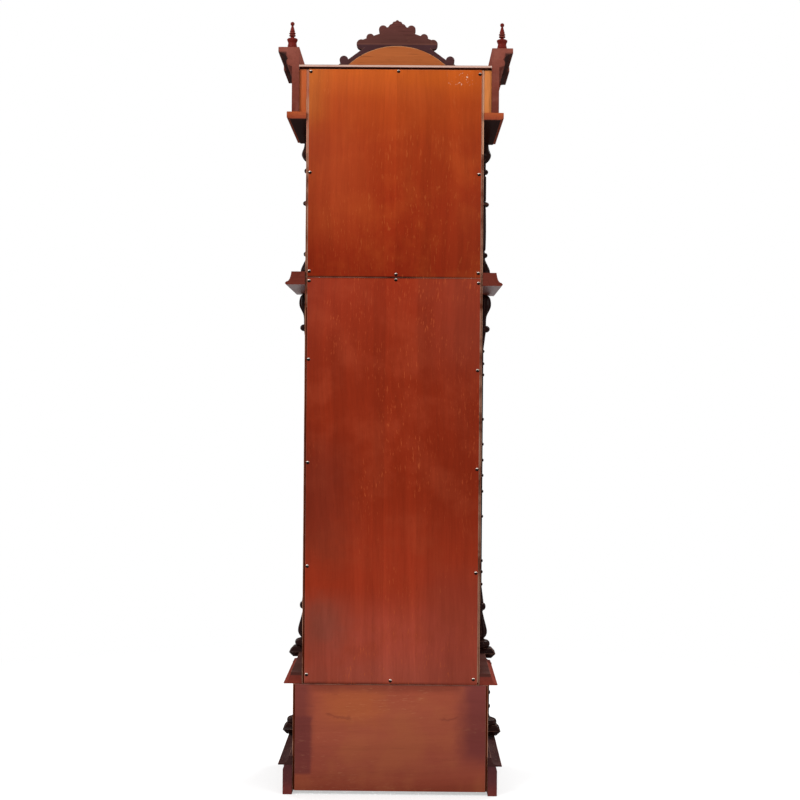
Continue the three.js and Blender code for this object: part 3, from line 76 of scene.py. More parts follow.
def paint(code):  # a colour as seen, to scene linear
    parts = [int(code[i:i + 2], 16) / 255 for i in (1, 3, 5)]
    return tuple(p / 12.92 if p <= 0.04045 else ((p + 0.055) / 1.055) ** 2.4 for p in parts) + (1.0,)


def addNode(tree, kind, inputs=(), **settings):  # inputs by label or number, as values or as sockets to link
    node = tree.nodes.new(kind)
    for key, value in settings.items():
        setattr(node, key, value)
    for label, value in dict(inputs).items():
        if isinstance(value, bpy.types.NodeSocket):
            tree.links.new(value, node.inputs[label])
        else:
            node.inputs[label].default_value = value
    return node


def newTree(kind, name, inputs, outputs):  # a socket is given by its kind, or by the number it starts with
    tree = bpy.data.node_groups.new(name, kind)
    for way, sockets in (("INPUT", inputs), ("OUTPUT", outputs)):
        for label, value in sockets.items():
            socketKind = value if isinstance(value, str) else "Float"
            socket = tree.interface.new_socket(label, in_out=way, socket_type="NodeSocket" + socketKind)
            if value != socketKind:
                socket.default_value = value
    return tree, addNode(tree, "NodeGroupInput").outputs


def calc(tree, operation, *values):
    return addNode(tree, "ShaderNodeMath", enumerate(values), operation=operation).outputs[0]


def product(tree, first, *others):
    for value in others:
        first = calc(tree, "MULTIPLY", first, value)
    return first


def vectorCalc(tree, operation, *vectors, output=0):
    return addNode(tree, "ShaderNodeVectorMath", enumerate(vectors), operation=operation).outputs[output]


def vectorOf(tree, *parts):
    return addNode(tree, "ShaderNodeCombineXYZ", enumerate(parts)).outputs[0]


def partsOf(tree, vector):
    return addNode(tree, "ShaderNodeSeparateXYZ", {0: vector}).outputs


def mixColors(tree, share, first, second, mode="MIX"):
    given = {0: share, 6: first, 7: second}
    return addNode(tree, "ShaderNodeMix", given, data_type="RGBA", blend_type=mode).outputs[2]


def noise(tree, vector, scale, detail=3.0, roughness=0.55):
    given = {"Vector": vector, "Scale": scale, "Detail": detail, "Roughness": roughness}
    return addNode(tree, "ShaderNodeTexNoise", given).outputs[0]


def ramped(tree, value, low, high, toLow=0.0, toHigh=1.0):
    given = enumerate((value, low, high, toLow, toHigh))
    return addNode(tree, "ShaderNodeMapRange", given, interpolation_type="SMOOTHSTEP").outputs[0]


def objectPlace(tree):
    return addNode(tree, "ShaderNodeTexCoord").outputs["Object"]


def grainPlace(tree):
    return addNode(tree, "ShaderNodeAttribute", attribute_name="grainAt").outputs["Vector"]


def facingUp(tree, low, high):  # where a surface looks upwards
    normal = addNode(tree, "ShaderNodeNewGeometry").outputs["Normal"]
    return ramped(tree, partsOf(tree, normal)["Z"], low, high)


# Shared effects

def effectTree(name, inputs, *outputs):
    given = {"Vector": "Vector", **inputs}
    return newTree("ShaderNodeTree", name, given, dict.fromkeys(outputs, "Float"))


def makeWoodGrain():  # third coordinate runs along the grain
    names = ("Bands", "Figure", "Fibre", "Pores", "Flecks", "Height")
    tree, given = effectTree("woodGrain", {"Band Scale": 9.0, "Fibre Scale": 140.0, "Warp": 0.03}, *names)
    place = given["Vector"]
    slow = vectorCalc(tree, "MULTIPLY", place, (1, 1, 0.45))
    drift = addNode(tree, "ShaderNodeTexNoise", {"Vector": slow, "Scale": 2.4}).outputs["Color"]
    shift = vectorCalc(tree, "MULTIPLY", vectorCalc(tree, "SUBTRACT", drift, (0.5, 0.5, 0.5)), given["Warp"])
    lain = vectorCalc(tree, "ADD", place, shift)

    def streaks(squeeze, scale, detail, roughness=0.55):  # noise drawn out along the grain
        return noise(tree, vectorCalc(tree, "MULTIPLY", lain, (1, 1, squeeze)), scale, detail, roughness)

    bands = streaks(0.07, given["Band Scale"], 3.0)
    fibre = streaks(0.05, given["Fibre Scale"], 4.0, 0.65)
    pores = ramped(tree, streaks(0.04, product(tree, given["Fibre Scale"], 2.6), 2.0), 0.6, 0.72)
    gathered = ramped(tree, streaks(0.4, 7.0, 2.0), 0.42, 0.62)
    flecks = ramped(tree, streaks(0.16, 260.0, 2.0), 0.6, 0.72)
    figure = calc(tree, "SINE", product(tree, bands, 46.0))
    height = calc(tree, "SUBTRACT", product(tree, fibre, 0.6), product(tree, pores, 0.5))
    made = (ramped(tree, bands, 0.3, 0.7), calc(tree, "MULTIPLY_ADD", figure, 0.5, 0.5),
            ramped(tree, fibre, 0.25, 0.75), pores, product(tree, flecks, gathered), height)
    addNode(tree, "NodeGroupOutput", zip(names, made))
    return tree


def makeEdgeWear():
    tree, given = effectTree("edgeWear", {"Amount": 0.6, "Scale": 16.0}, "Mask")
    edge = addNode(tree, "ShaderNodeAttribute", attribute_name="wear").outputs["Fac"]
    patches = ramped(tree, noise(tree, given["Vector"], given["Scale"], 4.0), 0.28, 0.6)
    addNode(tree, "NodeGroupOutput", {"Mask": product(tree, edge, patches, given["Amount"])})
    return tree


def makeSettledDust():
    tree, given = effectTree("settledDust", {"Amount": 0.3}, "Mask")
    clouds = ramped(tree, noise(tree, given["Vector"], 18.0, 4.0), 0.3, 0.75)
    addNode(tree, "NodeGroupOutput",
            {"Mask": product(tree, facingUp(tree, 0.55, 0.98), clouds, given["Amount"])})
    return tree


def makeHandling():  # smudges and fine scratches
    tree, given = effectTree("handling", {"Scale": 25.0}, "Smudge", "Scratch")
    smudge = ramped(tree, noise(tree, given["Vector"], given["Scale"], 5.0), 0.3, 0.7)
    fine = noise(tree, vectorCalc(tree, "MULTIPLY", given["Vector"], (1, 1, 0.06)), 900.0, 2.0)
    addNode(tree, "NodeGroupOutput", {"Smudge": smudge, "Scratch": ramped(tree, fine, 0.58, 0.75)})
    return tree


woodGrain = makeWoodGrain()
edgeWear = makeEdgeWear()
settledDust = makeSettledDust()
handling = makeHandling()


def useGroup(tree, group, **values):
    given = {"Vector": objectPlace(tree), **values}
    return addNode(tree, "ShaderNodeGroup", given, node_tree=group).outputs


# Finishes

finishes = {}  # kept here, because the frame brings materials with some of the same names


def newFinish(name):
    finish = finishes[name] = bpy.data.materials.new(name)
    finish.use_nodes = True
    finish.node_tree.nodes.clear()
    return finish.node_tree


def shade(tree, inputs):
    shader = addNode(tree, "ShaderNodeBsdfPrincipled", inputs)
    addNode(tree, "ShaderNodeOutputMaterial", {"Surface": shader.outputs[0]})


def bumped(tree, height, strength, distance):
    given = {"Strength": strength, "Distance": distance, "Height": height}
    return addNode(tree, "ShaderNodeBump", given).outputs[0]


def colorRamp(tree, share, interpolation, low, high, stops):
    ramp = addNode(tree, "ShaderNodeValToRGB", {0: share})
    elements = ramp.color_ramp.elements
    ramp.color_ramp.interpolation = interpolation
    while len(elements) < len(stops):
        elements.new(0.5)
    for element, (place, color) in zip(elements, stops):
        element.position = (place - low) / (high - low)
        element.color = color
    return ramp.outputs[0]


def heightColors(tree, stops):  # colour by height above the floor
    low, high = stops[0][0], stops[-1][0]
    given = {0: partsOf(tree, objectPlace(tree))["Z"], 1: low, 2: high}
    share = addNode(tree, "ShaderNodeMapRange", given).outputs[0]
    return colorRamp(tree, share, "EASE", low, high, [(z, paint(code)) for z, code in stops])


def veneerLeaves(tree, leaves):  # each leaf of veneer has its own tint from its edge on
    low = leaves[0][0]
    drift = product(tree, noise(tree, objectPlace(tree), 14.0, 3.0), 0.008)
    across = calc(tree, "ADD", partsOf(tree, objectPlace(tree))["X"], drift)
    tints = [(x, (tint, tint, tint, 1)) for x, tint in leaves]
    return colorRamp(tree, ramped(tree, across, low, -low), "CONSTANT", low, -low, tints)


def chippedSpots(tree, chips):  # a few pale nicks in one corner
    flat = vectorCalc(tree, "MULTIPLY", objectPlace(tree), (1, 0, chips["flat"]))
    away = vectorCalc(tree, "DISTANCE", flat, (chips["x"], 0, chips["flat"] * chips["z"]), output="Value")
    near = ramped(tree, away, 0.3 * chips["reach"], chips["reach"], 1.0, 0.0)
    spots = ramped(tree, noise(tree, objectPlace(tree), chips["scale"], 2.0), 0.66, 0.7)
    return product(tree, near, spots, chips["share"])


def mark(tone, share, blur, ragged=0.02, **spans):  # a soft-edged mark between places in x, y and z; some are stains, some painted shadow and painted highlight
    return tone, share, blur, ragged, spans


def addStainsAndPaintedLight(tree, tone, marks, place):
    parts = partsOf(tree, place)
    uneven = calc(tree, "SUBTRACT", noise(tree, objectPlace(tree), 28.0, 3.0), 0.5)
    for code, share, blur, ragged, spans in marks:
        drift, mask = product(tree, uneven, ragged), share
        for axis, (low, high) in spans.items():
            along = calc(tree, "ADD", parts[axis.upper()], drift)
            for edge, ends in ((low, (0.0, 1.0)), (high, (1.0, 0.0))):
                mask = product(tree, mask, ramped(tree, along, edge - blur / 2, edge + blur / 2, *ends))
        tone = mixColors(tree, mask, tone, paint(code))
    return tone


plainWood = {"specular": 0.0, "coat": 0.015, "bands": 9.0, "fibre": 140.0, "warp": 0.03, "contrast": 0.26,
             "pores": 0.35, "flecks": 0.12, "fleckTone": "#d79a72", "wear": 0.6, "wornTone": "#b58470",
             "dust": 0.06, "rough": 0.38, "bump": 0.25, "bumpDepth": 0.0006, "coatRough": 0.22,
             "fibreRough": 0.14, "dustRough": 0.5, "poreTone": "#1d0c09", "chipTone": "#e3cbb6",
             "dustTone": "#8d8078"}
grainShares = {"Bands": 0.46, "Fibre": 0.3, "Figure": 0.16}


def woodFinish(name, changes):
    look = {**plainWood, **changes}
    tree = newFinish(name)
    place = grainPlace(tree)
    if "along" in look:  # object coordinates with the grain laid along the third
        parts = partsOf(tree, objectPlace(tree))
        place = vectorOf(tree, *[parts[i] for i in look["along"]])
    sizes = {"Band Scale": look["bands"], "Fibre Scale": look["fibre"], "Warp": look["warp"]}
    grain = useGroup(tree, woodGrain, Vector=place, **sizes)
    tone = heightColors(tree, look["heights"]) if "heights" in look else paint(look["tone"])
    if "mottle" in look:
        code, amount, scale = look["mottle"]
        blotches = ramped(tree, noise(tree, objectPlace(tree), scale, 5.0), 0.42, 0.7)
        tone = mixColors(tree, product(tree, blotches, amount), tone, paint(code))
    if "leaves" in look:
        tone = mixColors(tree, 1.0, tone, veneerLeaves(tree, look["leaves"]), "MULTIPLY")
    if "stains" in look:
        tone = addStainsAndPaintedLight(tree, tone, look["stains"], objectPlace(tree))
    if "hollows" in look:  # painted shade in the moulding's hollows, placed across the moulding: reach, then height
        tone = addStainsAndPaintedLight(tree, tone, look["hollows"], grainPlace(tree))
    share = 0.0
    for label, weight in grainShares.items():
        share = calc(tree, "MULTIPLY_ADD", grain[label], weight, share)
    depth = look["contrast"]
    darkTint = (1 - depth, 1 - 1.12 * depth, 1 - 1.2 * depth, 1)
    lightTint = (1 + depth, 1 + 1.05 * depth, 1 + 1.1 * depth, 1)
    color = mixColors(tree, 1.0, tone, mixColors(tree, share, darkTint, lightTint), "MULTIPLY")
    dust = useGroup(tree, settledDust, Amount=look["dust"])["Mask"]
    layers = [(product(tree, grain["Pores"], look["pores"]), look["poreTone"]),
              (product(tree, grain["Flecks"], look["flecks"]), look["fleckTone"])]
    if "chips" in look:
        layers.append((chippedSpots(tree, look["chips"]), look["chipTone"]))
    worn = useGroup(tree, edgeWear, Amount=look["wear"])["Mask"]
    layers += [(worn, look["wornTone"]), (dust, look["dustTone"])]
    for mask, code in layers:
        color = mixColors(tree, mask, color, paint(code))
    rough = calc(tree, "MULTIPLY_ADD", grain["Fibre"], look["fibreRough"], look["rough"])
    shade(tree, {"Specular IOR Level": look["specular"], "Coat Weight": look["coat"],
                 "Coat Roughness": look["coatRough"], "Base Color": color,
                 "Roughness": calc(tree, "MULTIPLY_ADD", dust, look["dustRough"], rough),
                 "Normal": bumped(tree, grain["Height"], look["bump"], look["bumpDepth"])})


def metalFinish(name, changes):
    look = {"scale": 30.0, "patchy": 0.3, "wear": 0.5, "rough": 0.34, "smudgeRough": -0.12, "bump": 0.06,
            "bumpDepth": 0.0002, **changes}
    tree = newFinish(name)
    marks = useGroup(tree, handling, Scale=look["scale"])
    tarnish = calc(tree, "MULTIPLY_ADD", marks["Smudge"], look["patchy"], 0.5 - look["patchy"] / 2)
    color = mixColors(tree, tarnish, paint(look["dull"]), paint(look["bright"]))
    wear = useGroup(tree, edgeWear, Amount=look["wear"])["Mask"]
    color = mixColors(tree, wear, color, paint(look["worn"]))
    if "dusty" in look:  # settled dust plus a painted highlight on the upper half
        color = mixColors(tree, facingUp(tree, 0.08, 0.5), color, paint(look["dusty"]))
    shade(tree, {"Metallic": 1.0, "Specular IOR Level": 0.5, "Base Color": color,
                 "Roughness": calc(tree, "MULTIPLY_ADD", marks["Smudge"], look["smudgeRough"], look["rough"]),
                 "Normal": bumped(tree, marks["Scratch"], look["bump"], look["bumpDepth"])})


def enamelFinish(name, changes):
    look = {"scale": 14.0, "crazing": 160.0, "cracks": 0.18, "crackWidth": 0.03, "specular": 0.4,
            "coat": 0.15, "rough": 0.3, "smudgeRough": 0.12, "bump": 0.05, "bumpDepth": 0.0002, **changes}
    tree = newFinish(name)
    marks = useGroup(tree, handling, Scale=look["scale"])
    given = {"Vector": objectPlace(tree), "Scale": look["crazing"]}
    crazing = addNode(tree, "ShaderNodeTexVoronoi", given, feature="DISTANCE_TO_EDGE").outputs["Distance"]
    color = mixColors(tree, marks["Smudge"], paint(look["dull"]), paint(look["bright"]))
    cracks = ramped(tree, crazing, 0.0, look["crackWidth"], look["cracks"], 0.0)
    shade(tree, {"Specular IOR Level": look["specular"], "Coat Weight": look["coat"],
                 "Base Color": mixColors(tree, cracks, color, paint(look["crackTone"])),
                 "Roughness": calc(tree, "MULTIPLY_ADD", marks["Smudge"], look["smudgeRough"], look["rough"]),
                 "Normal": bumped(tree, marks["Scratch"], look["bump"], look["bumpDepth"])})


def glassFinish(name, look):
    tree = newFinish(name)
    smudge = useGroup(tree, handling, Scale=look["scale"])["Smudge"]
    shade(tree, {"Transmission Weight": 1.0, "IOR": look["ior"], "Metallic": 0.0,
                 "Base Color": paint(look["tone"]), "Roughness": product(tree, smudge, look["smudgeRough"])})


panelLook = {"wear": 0.3, "bands": 6.0, "pores": 0.09, "flecks": 0.42, "contrast": 0.22, "warp": 0.12,
             "specular": 0.04}
# dark tone: dark wood darkened further as painted shade of the unlit outer sides
sideLook = {"tone": "#54200f", "wear": 0.9, "wornTone": "#b4876f", "flecks": 0.08, "fleckTone": "#96512f"}
rearEdge = {"share": 0.85, "blur": 0.003, "ragged": 0.003, "y": (0.2125, 0.25), "z": (1.87, 2.15)}
polish = {"coat": 0.07}
woods = {
    "upperPanelWood": {
        **panelLook, "fleckTone": "#cf7038", "flecks": 0.2, "mottle": ("#ad4a1e", 0.4, 9.0),
        # heights: the darkest stops at the foot are painted shade in the seam groove; the rise towards the top
        # is partly sun fading, partly painted light from above
        "heights": [(1.508, "#2c0d07"), (1.5105, "#3a1108"), (1.513, "#89260e"), (1.70, "#922c10"),
                    (1.88, "#983412"), (2.0, "#a23e14"), (2.115, "#b9541a")],
        # the first mark, paler at the upper +X edge, is a painted highlight; the others are stains
        "stains": [mark("#bd6a22", 0.45, 0.10, x=(0.215, 0.33), z=(1.96, 2.25)),
                   mark("#a4431f", 0.5, 0.16, x=(0.10, 0.33), z=(1.62, 1.90)),
                   mark("#8a3418", 0.35, 0.16, x=(-0.33, -0.15), z=(1.4, 1.75))],
        "leaves": [(-0.33, 0.96), (-0.15, 0.9), (0.0, 1.0), (0.05, 0.93)],
        "chips": {"x": -0.192, "z": 2.090, "reach": 0.055, "flat": 1.8, "scale": 170.0, "share": 0.8},
    },
    "lowerPanelWood": {
        **panelLook, "fleckTone": "#bf5a30", "mottle": ("#9a3c22", 0.45, 9.0),
        # heights: the dark stops at both ends are painted shade in the seams; the paler stops near the foot
        # are a painted reflection of the floor
        "heights": [(0.322, "#33120d"), (0.325, "#4a1c14"), (0.328, "#a04a39"), (0.45, "#a64634"),
                    (0.62, "#98321a"), (0.95, "#82260e"), (1.25, "#81260e"), (1.5035, "#8b2b13"),
                    (1.5060, "#3a1108"), (1.508, "#2c0d07")],
        "stains": [mark("#7d4538", 0.6, 0.11, 0.06, x=(0.14, 0.26), z=(0.43, 0.56)),
                   mark("#8c3b2c", 0.4, 0.12, x=(-0.33, -0.10), z=(0.25, 0.65)),
                   mark("#8a3a28", 0.4, 0.18, 0.08, x=(-0.33, -0.11), z=(1.25, 1.58)),
                   mark("#6e2a1c", 0.5, 0.16, 0.08, x=(0.13, 0.33), z=(0.68, 1.02))],
        "leaves": [(-0.33, 0.93), (-0.10, 1.0), (0.04, 0.9), (0.09, 0.97)],
    },
    "basePanelWood": {
        **panelLook, "contrast": 0.12, "flecks": 0.12, "mottle": ("#a35a3a", 0.5, 7.0),
        # heights: the dark top stop, and the mark at 0.303 to 0.34, are a painted shadow cast by the lower
        # panel's edge; the pale tone is partly a painted reflection of the floor
        "heights": [(0.011, "#863d2c"), (0.09, "#934736"), (0.2, "#9c4e39"), (0.316, "#964834"),
                    (0.322, "#4a2119")],
        "stains": [mark("#683130", 0.75, 0.012, 0.012, x=(0.2305, 0.30), z=(0.059, 0.228)),
                   mark("#6d3430", 0.8, 0.044, x=(0.234, 0.33), z=(0.105, 0.39)),
                   mark("#6b3231", 0.85, 0.070, 0.03, x=(-0.36, -0.208), z=(0.100, 0.36)),
                   mark("#aa5a32", 0.5, 0.075, 0.05, x=(0.03, 0.19), z=(0.215, 0.31)),
                   # painted shadow under the lower panel's edge
                   mark("#6a2f26", 0.55, 0.026, x=(-0.20, 0.23), z=(0.303, 0.34)),
                   mark("#6a3028", 0.5, 0.010, 0.04, x=(0.120, 0.180), z=(0.2255, 0.2315)),
                   mark("#6a3028", 0.5, 0.010, 0.04, x=(-0.200, -0.145), z=(0.221, 0.227))],
    },
    "sideWood": sideLook,
    "caseSideWood": {**sideLook, "stains": [mark("#b06a55", x=(0.245, 0.27), **rearEdge),
                                            mark("#dba283", x=(-0.27, -0.245), **rearEdge)]},
    "skirtWood": {"heights": [(0.0, "#703430"), (0.05, "#582e2f"), (0.1, "#4a2a2d")], "wear": 0.55},
    "plinthCapWood": {"tone": "#3c2423", "wear": 0.8},
    # heights: the dark upper stops are painted shade on the cove next to the case
    "baseMouldWood": {"heights": [(0.322, "#7c3529"), (0.344, "#74332a"), (0.348, "#4e2c27"),
                                  (0.373, "#43251f")],
                      "wear": 0.65},
    "hoodMouldWood": {"tone": "#662a1f", "wear": 0.6, "specular": 0.06},
    # heights: the dark stops up to 1.9685 are painted shade on the cornice's underside
    "lowerCorniceWood": {"heights": [(1.889, "#3a211d"), (1.9685, "#3a211d"), (1.9715, "#92432b"),
                                     (1.99, "#a8522f")],
                         "wear": 0.7},
    "upperCorniceWood": {"heights": [(1.990, "#6a3128"), (2.07, "#753b30"), (2.178, "#8a4c40")], "wear": 0.75,
                         # painted shade in the cove under the fascia
                         "hollows": [mark("#33211f", 0.92, 0.008, 0.006, x=(0.037, 0.10), y=(2.126, 2.1635))],
                         "mottle": ("#9a6355", 0.35, 20.0)},
    # near-black: dark wood darkened further as painted shade
    "columnWood": {**polish, "tone": "#24100e", "wear": 0.4, "contrast": 0.34},
    "frameWood": {**polish, "tone": "#571d12", "wear": 0.45, "contrast": 0.32},
    "archWood": {"tone": "#aa5f34", "wear": 0.6, "wornTone": "#e0b487", "contrast": 0.2},
    "fillerWood": {"tone": "#bd5e33", "wear": 0.5, "wornTone": "#dcae86"},
    "paleFillerWood": {"tone": "#d58347", "wear": 0.5, "wornTone": "#dcae86"},
    # heights: the dark stops up to 2.1205 are painted shade in the rebate under the rear edge; the pale band
    # above is the worn raw edge
    "rawEdgeWood": {"heights": [(2.115, "#4a2117"), (2.1205, "#4a2117"), (2.1215, "#c49d8e"),
                                (2.1258, "#cfae9f"), (2.1267, "#8a5a48")], "wear": 0.8, "wornTone": "#f0e2d8",
                    "rough": 0.55},
    # the pale stop at 2.274 is a painted highlight line across the flat board, where a step would catch light
    "crestWood": {"heights": [(2.150, "#4f312e"), (2.270, "#493033"), (2.274, "#67433b"), (2.278, "#5a3833"),
                              (2.35, "#603834")], "wear": 0.4, "contrast": 0.2},
    "finialWood": {**polish, "tone": "#6e241e", "wear": 0.4},
    "seatWood": {"tone": "#8a4a2c", "along": (2, 1, 0)},
}
metals = {
    "brass": {"dull": "#7a5c2c", "bright": "#b8934f", "worn": "#dcc48a"},
    "steel": {"dull": "#6d6e72", "bright": "#a3a4a8", "worn": "#d5d6d8", "rough": 0.36},
    "bluedSteel": {"dull": "#161a2b", "bright": "#232c4c", "worn": "#6f7688", "rough": 0.3},
    # the pale layer on the heads' upper half is dust plus a painted highlight
    "screwSteel": {"dull": "#0d0a09", "bright": "#211a17", "worn": "#a39e98", "dusty": "#e3d8cc",
                   "rough": 0.5},
}
enamels = {
    "dialPaint": {"dull": "#d9cfb4", "bright": "#e8e0c9", "crackTone": "#a08f6b"},
    "numeralPaint": {"dull": "#15120f", "bright": "#241f1a", "crackTone": "#4b4238"},
    "chapterPaint": {"dull": "#e4dfd0", "bright": "#f0ece0", "crackTone": "#b5a888"},
}
glasses = {"doorGlass": {"tone": "#f4faf7", "ior": 1.46, "scale": 9.0, "smudgeRough": 0.012}}
kinds = ((woodFinish, woods), (metalFinish, metals), (enamelFinish, enamels), (glassFinish, glasses))
for makeFinish, looks in kinds:
    for name, look in looks.items():
        makeFinish(name, look)
print("finishes:", len(finishes))


# Mesh building blocks

grainOrders = {"z": (0, 1, 2), "x": (2, 1, 0)}


def startMesh():
    bm = bmesh.new()
    bm.verts.layers.float_vector.new("grainAt")
    bm.loops.layers.float.new("wear")
    return bm


def layGrain(bm, along):
    layer = bm.verts.layers.float_vector["grainAt"]
    for vert in bm.verts:
        vert[layer] = Vector([vert.co[i] for i in grainOrders[along]])


def markWorn(bm, faces, worn=None):  # all of it, or as given for each vertex
    layer = bm.loops.layers.float["wear"]
    for face in faces:
        for loop in face.loops:
            loop[layer] = worn[loop.vert] if worn else 1.0


def roundEdges(bm, edges, size):
    made = bmesh.ops.bevel(bm, geom=list(edges), offset=size, segments=2, profile=0.5, affect="EDGES",
                           clamp_overlap=True)
    markWorn(bm, made["faces"])


def skin(bm, rings, looped=False, capped=True):  # faces between rings of vertices, and the two ends
    sides = []
    for near, far in zip(rings, rings[1:] + (rings[:1] if looped else [])):
        count = max(len(near), len(far))
        for i in range(count if count > 1 else 0):
            j = (i + 1) % count
            corners = (near[i % len(near)], near[j % len(near)], far[j % len(far)], far[i % len(far)])
            sides.append(bm.faces.new(list(dict.fromkeys(corners))))
    caps = [bm.faces.new(rings[0][::-1]), bm.faces.new(rings[-1])] if capped else []
    bmesh.ops.recalc_face_normals(bm, faces=sides + caps)
    return sides, caps


def addBoard(bm, low, high, bevel):
    corners = bmesh.ops.create_cube(bm, size=1.0)["verts"]
    middle, size = (low + high) / 2, high - low
    for vert in corners:
        vert.co = Vector([middle[i] + vert.co[i] * size[i] for i in range(3)])
    roundEdges(bm, {edge for vert in corners for edge in vert.link_edges}, bevel)


def addPlate(bm, outline, low, high, place, bevel):  # a flat outline with some thickness
    caps = skin(bm, [[bm.verts.new(place(a, b, h)) for a, b in outline] for h in (low, high)])[1]
    roundEdges(bm, {edge for cap in caps for edge in cap.edges}, bevel)


def soften(profile, size):  # sharp outer corners become a small worn round: (out, height, wear)
    points, last = [], len(profile) - 1
    for i, here in enumerate(profile):
        here = Vector(here)
        if 0 < i < last:
            before, after = here - Vector(profile[i - 1]), Vector(profile[i + 1]) - here
            room = min(size, 0.4 * before.length, 0.4 * after.length)
            before, after = before.normalized(), after.normalized()
            if before.cross(after) > 0.35 and room > 1e-5:
                middle = here + (after - before) * room * 0.29
                points += [(here - before * room, 0.0), (middle, 1.0), (here + after * room, 0.0)]
                continue
        points.append((here, 0.0))
    return [(point.x, point.y, worn) for point, worn in points]


def sideOf(start, end):  # the right-hand side of a level run
    run = (Vector(end) - Vector(start)).normalized()
    return Vector((run.y, -run.x))


def addSweep(bm, profile, path, place, closed=False, soft=0.0014):
    points, count = soften(profile, soft), len(path)
    corners, travelled = [], 0.0
    for i, here in enumerate(path):
        sides = []
        if closed or i > 0:
            sides.append(sideOf(path[i - 1], here))
        if closed or i < count - 1:
            sides.append(sideOf(here, path[(i + 1) % count]))
        mitre = (sides[0] + sides[-1]) / (1 + sides[0].dot(sides[-1]))
        if i:
            travelled += (Vector(here) - Vector(path[i - 1])).length
        corners.append((Vector(here), mitre, travelled))
    runs = [[corners[i], corners[(i + 1) % count]] for i in range(count)] if closed else [corners]
    for run in runs:  # each side of a closed frame is a length of its own, cut at the mitres
        addLength(bm, points, run, place)


def addLength(bm, points, corners, place):
    grain = bm.verts.layers.float_vector["grainAt"]
    rings, worn, start = [], {}, corners[0][2]
    for here, mitre, travelled in corners:
        along = travelled if travelled >= start else start + 1.0
        rings.append([])
        for out, height, wear in points:
            spot = here + mitre * out
            vert = bm.verts.new(place(spot.x, spot.y, height))
            vert[grain] = Vector((out, height, along))
            worn[vert] = wear
            rings[-1].append(vert)
    markWorn(bm, skin(bm, rings)[0], worn)


def addTurned(bm, profile, place, sides=40, relief=None, soft=0.0008):
    rings, worn = [], {}
    for radius, height, wear in soften(profile, soft):
        rings.append([])
        for i in range(1 if radius < 1e-6 else sides):
            angle = 2 * math.pi * i / sides
            reach = radius * (relief(angle, height) if relief else 1.0)
            vert = bm.verts.new(place(reach * math.cos(angle), reach * math.sin(angle), height))
            worn[vert] = wear
            rings[-1].append(vert)
    markWorn(bm, skin(bm, rings, capped=False)[0], worn)


def linked(name, data):
    piece = bpy.data.objects.new(name, data)
    scene.collection.objects.link(piece)
    return piece


woodCrease, trimCrease = 32, 35  # degrees from which an edge stays sharp


def smoothed(mesh, crease):
    mesh.shade_smooth()
    mesh.set_sharp_from_angle(angle=math.radians(crease))


def toObject(name, bm, finish, crease=woodCrease):
    mesh = bpy.data.meshes.new(name)
    bm.to_mesh(mesh)
    bm.free()
    mesh.materials.append(finishes[finish])
    smoothed(mesh, crease)
    return linked(name, mesh)


def frozen(piece):  # the evaluated shape as a plain mesh
    bpy.context.view_layer.update()
    seen = piece.evaluated_get(bpy.context.evaluated_depsgraph_get())
    mesh = bpy.data.meshes.new_from_object(seen)
    piece.modifiers.clear()
    piece.data = mesh


cutterBevel = 0.00001


def cutBoxes(piece, boxes, operation, finish):
    cutters = []
    for low, high in boxes:
        bm = startMesh()
        addBoard(bm, Vector(low), Vector(high), cutterBevel)
        cutters.append(toObject("cutter", bm, finish))
        boolean = piece.modifiers.new("joinery", "BOOLEAN")
        boolean.operation = operation
        boolean.solver = "EXACT"
        boolean.object = cutters[-1]
    frozen(piece)
    for cutter in cutters:
        bpy.data.objects.remove(cutter)
    piece.data.set_sharp_from_angle(angle=math.radians(woodCrease))


def mount(piece, node=None, body=None):  # on the body given, or else with the node it replaces
    body = body or bodyOf.get(node, "case")
    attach(piece, body)
    if node:
        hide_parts(node)


def shaped(name, finish, slot, add, *given, node=None, along=None, crease=woodCrease, cuts=(), joins=(),
           **settings):
    bm = startMesh()
    add(bm, *given, **settings)
    if along:
        layGrain(bm, along)
    piece = toObject(name, bm, finish, crease)
    if cuts:
        cutBoxes(piece, cuts, "DIFFERENCE", finish)
    if joins:
        cutBoxes(piece, joins, "UNION", finish)
    mount(piece, node)


def level(x, y, z):
    return Vector((x, y, z))


def upright(x, z, y):  # drawn as seen from the front
    return Vector((x, y, z))


def standing(x, y):  # turned about an upright line
    return lambda a, b, h: Vector((x + a, y + b, h))


def facing(x, z, y):  # turned about a line towards the front
    return lambda a, b, h: Vector((x + a, y - h, z + b))


def bent(start, control, end, steps=10):  # a cove or ovolo
    points = []
    for i in range(steps + 1):
        t = i / steps
        points.append(tuple((1 - t) ** 2 * a + 2 * t * (1 - t) * b + t * t * c
                            for a, b, c in zip(start, control, end)))
    return points


def flowing(points, steps=5):  # a smooth line through turned points
    line, last = [], len(points) - 1
    for i in range(last):
        around = [points[min(max(k, 0), last)] for k in (i - 1, i, i + 1, i + 2)]
        for s in range(steps):
            t = s / steps
            line.append(tuple(
                0.5 * (2 * b + (c - a) * t + (2 * a - 5 * b + 4 * c - d) * t * t
                       + (3 * b - a - 3 * c + d) * t ** 3)
                for a, b, c, d in zip(*around)
            ))
    return line + [tuple(points[-1])]


def beadAt(z, radius, half, core, steps=10):
    turns = [math.pi * i / steps for i in range(steps + 1)]
    return [(core + (radius - core) * math.sin(turn), z - half * math.cos(turn)) for turn in turns]


def scaled(shares, reach, low, tall):  # turned points from shares of a radius and a height
    return [(r * reach, low + s * tall) for r, s in shares]


def roundPath(half, front, rear):  # left side, front, right side
    return [(-half, rear), (-half, front), (half, front), (half, rear)]


def bothHands(low, high):
    (x0, y0, z0), (x1, y1, z1) = low, high
    return [((x0, y0, z0), (x1, y1, z1)), ((-x1, y0, z0), (-x0, y1, z1))]


# Case carcass

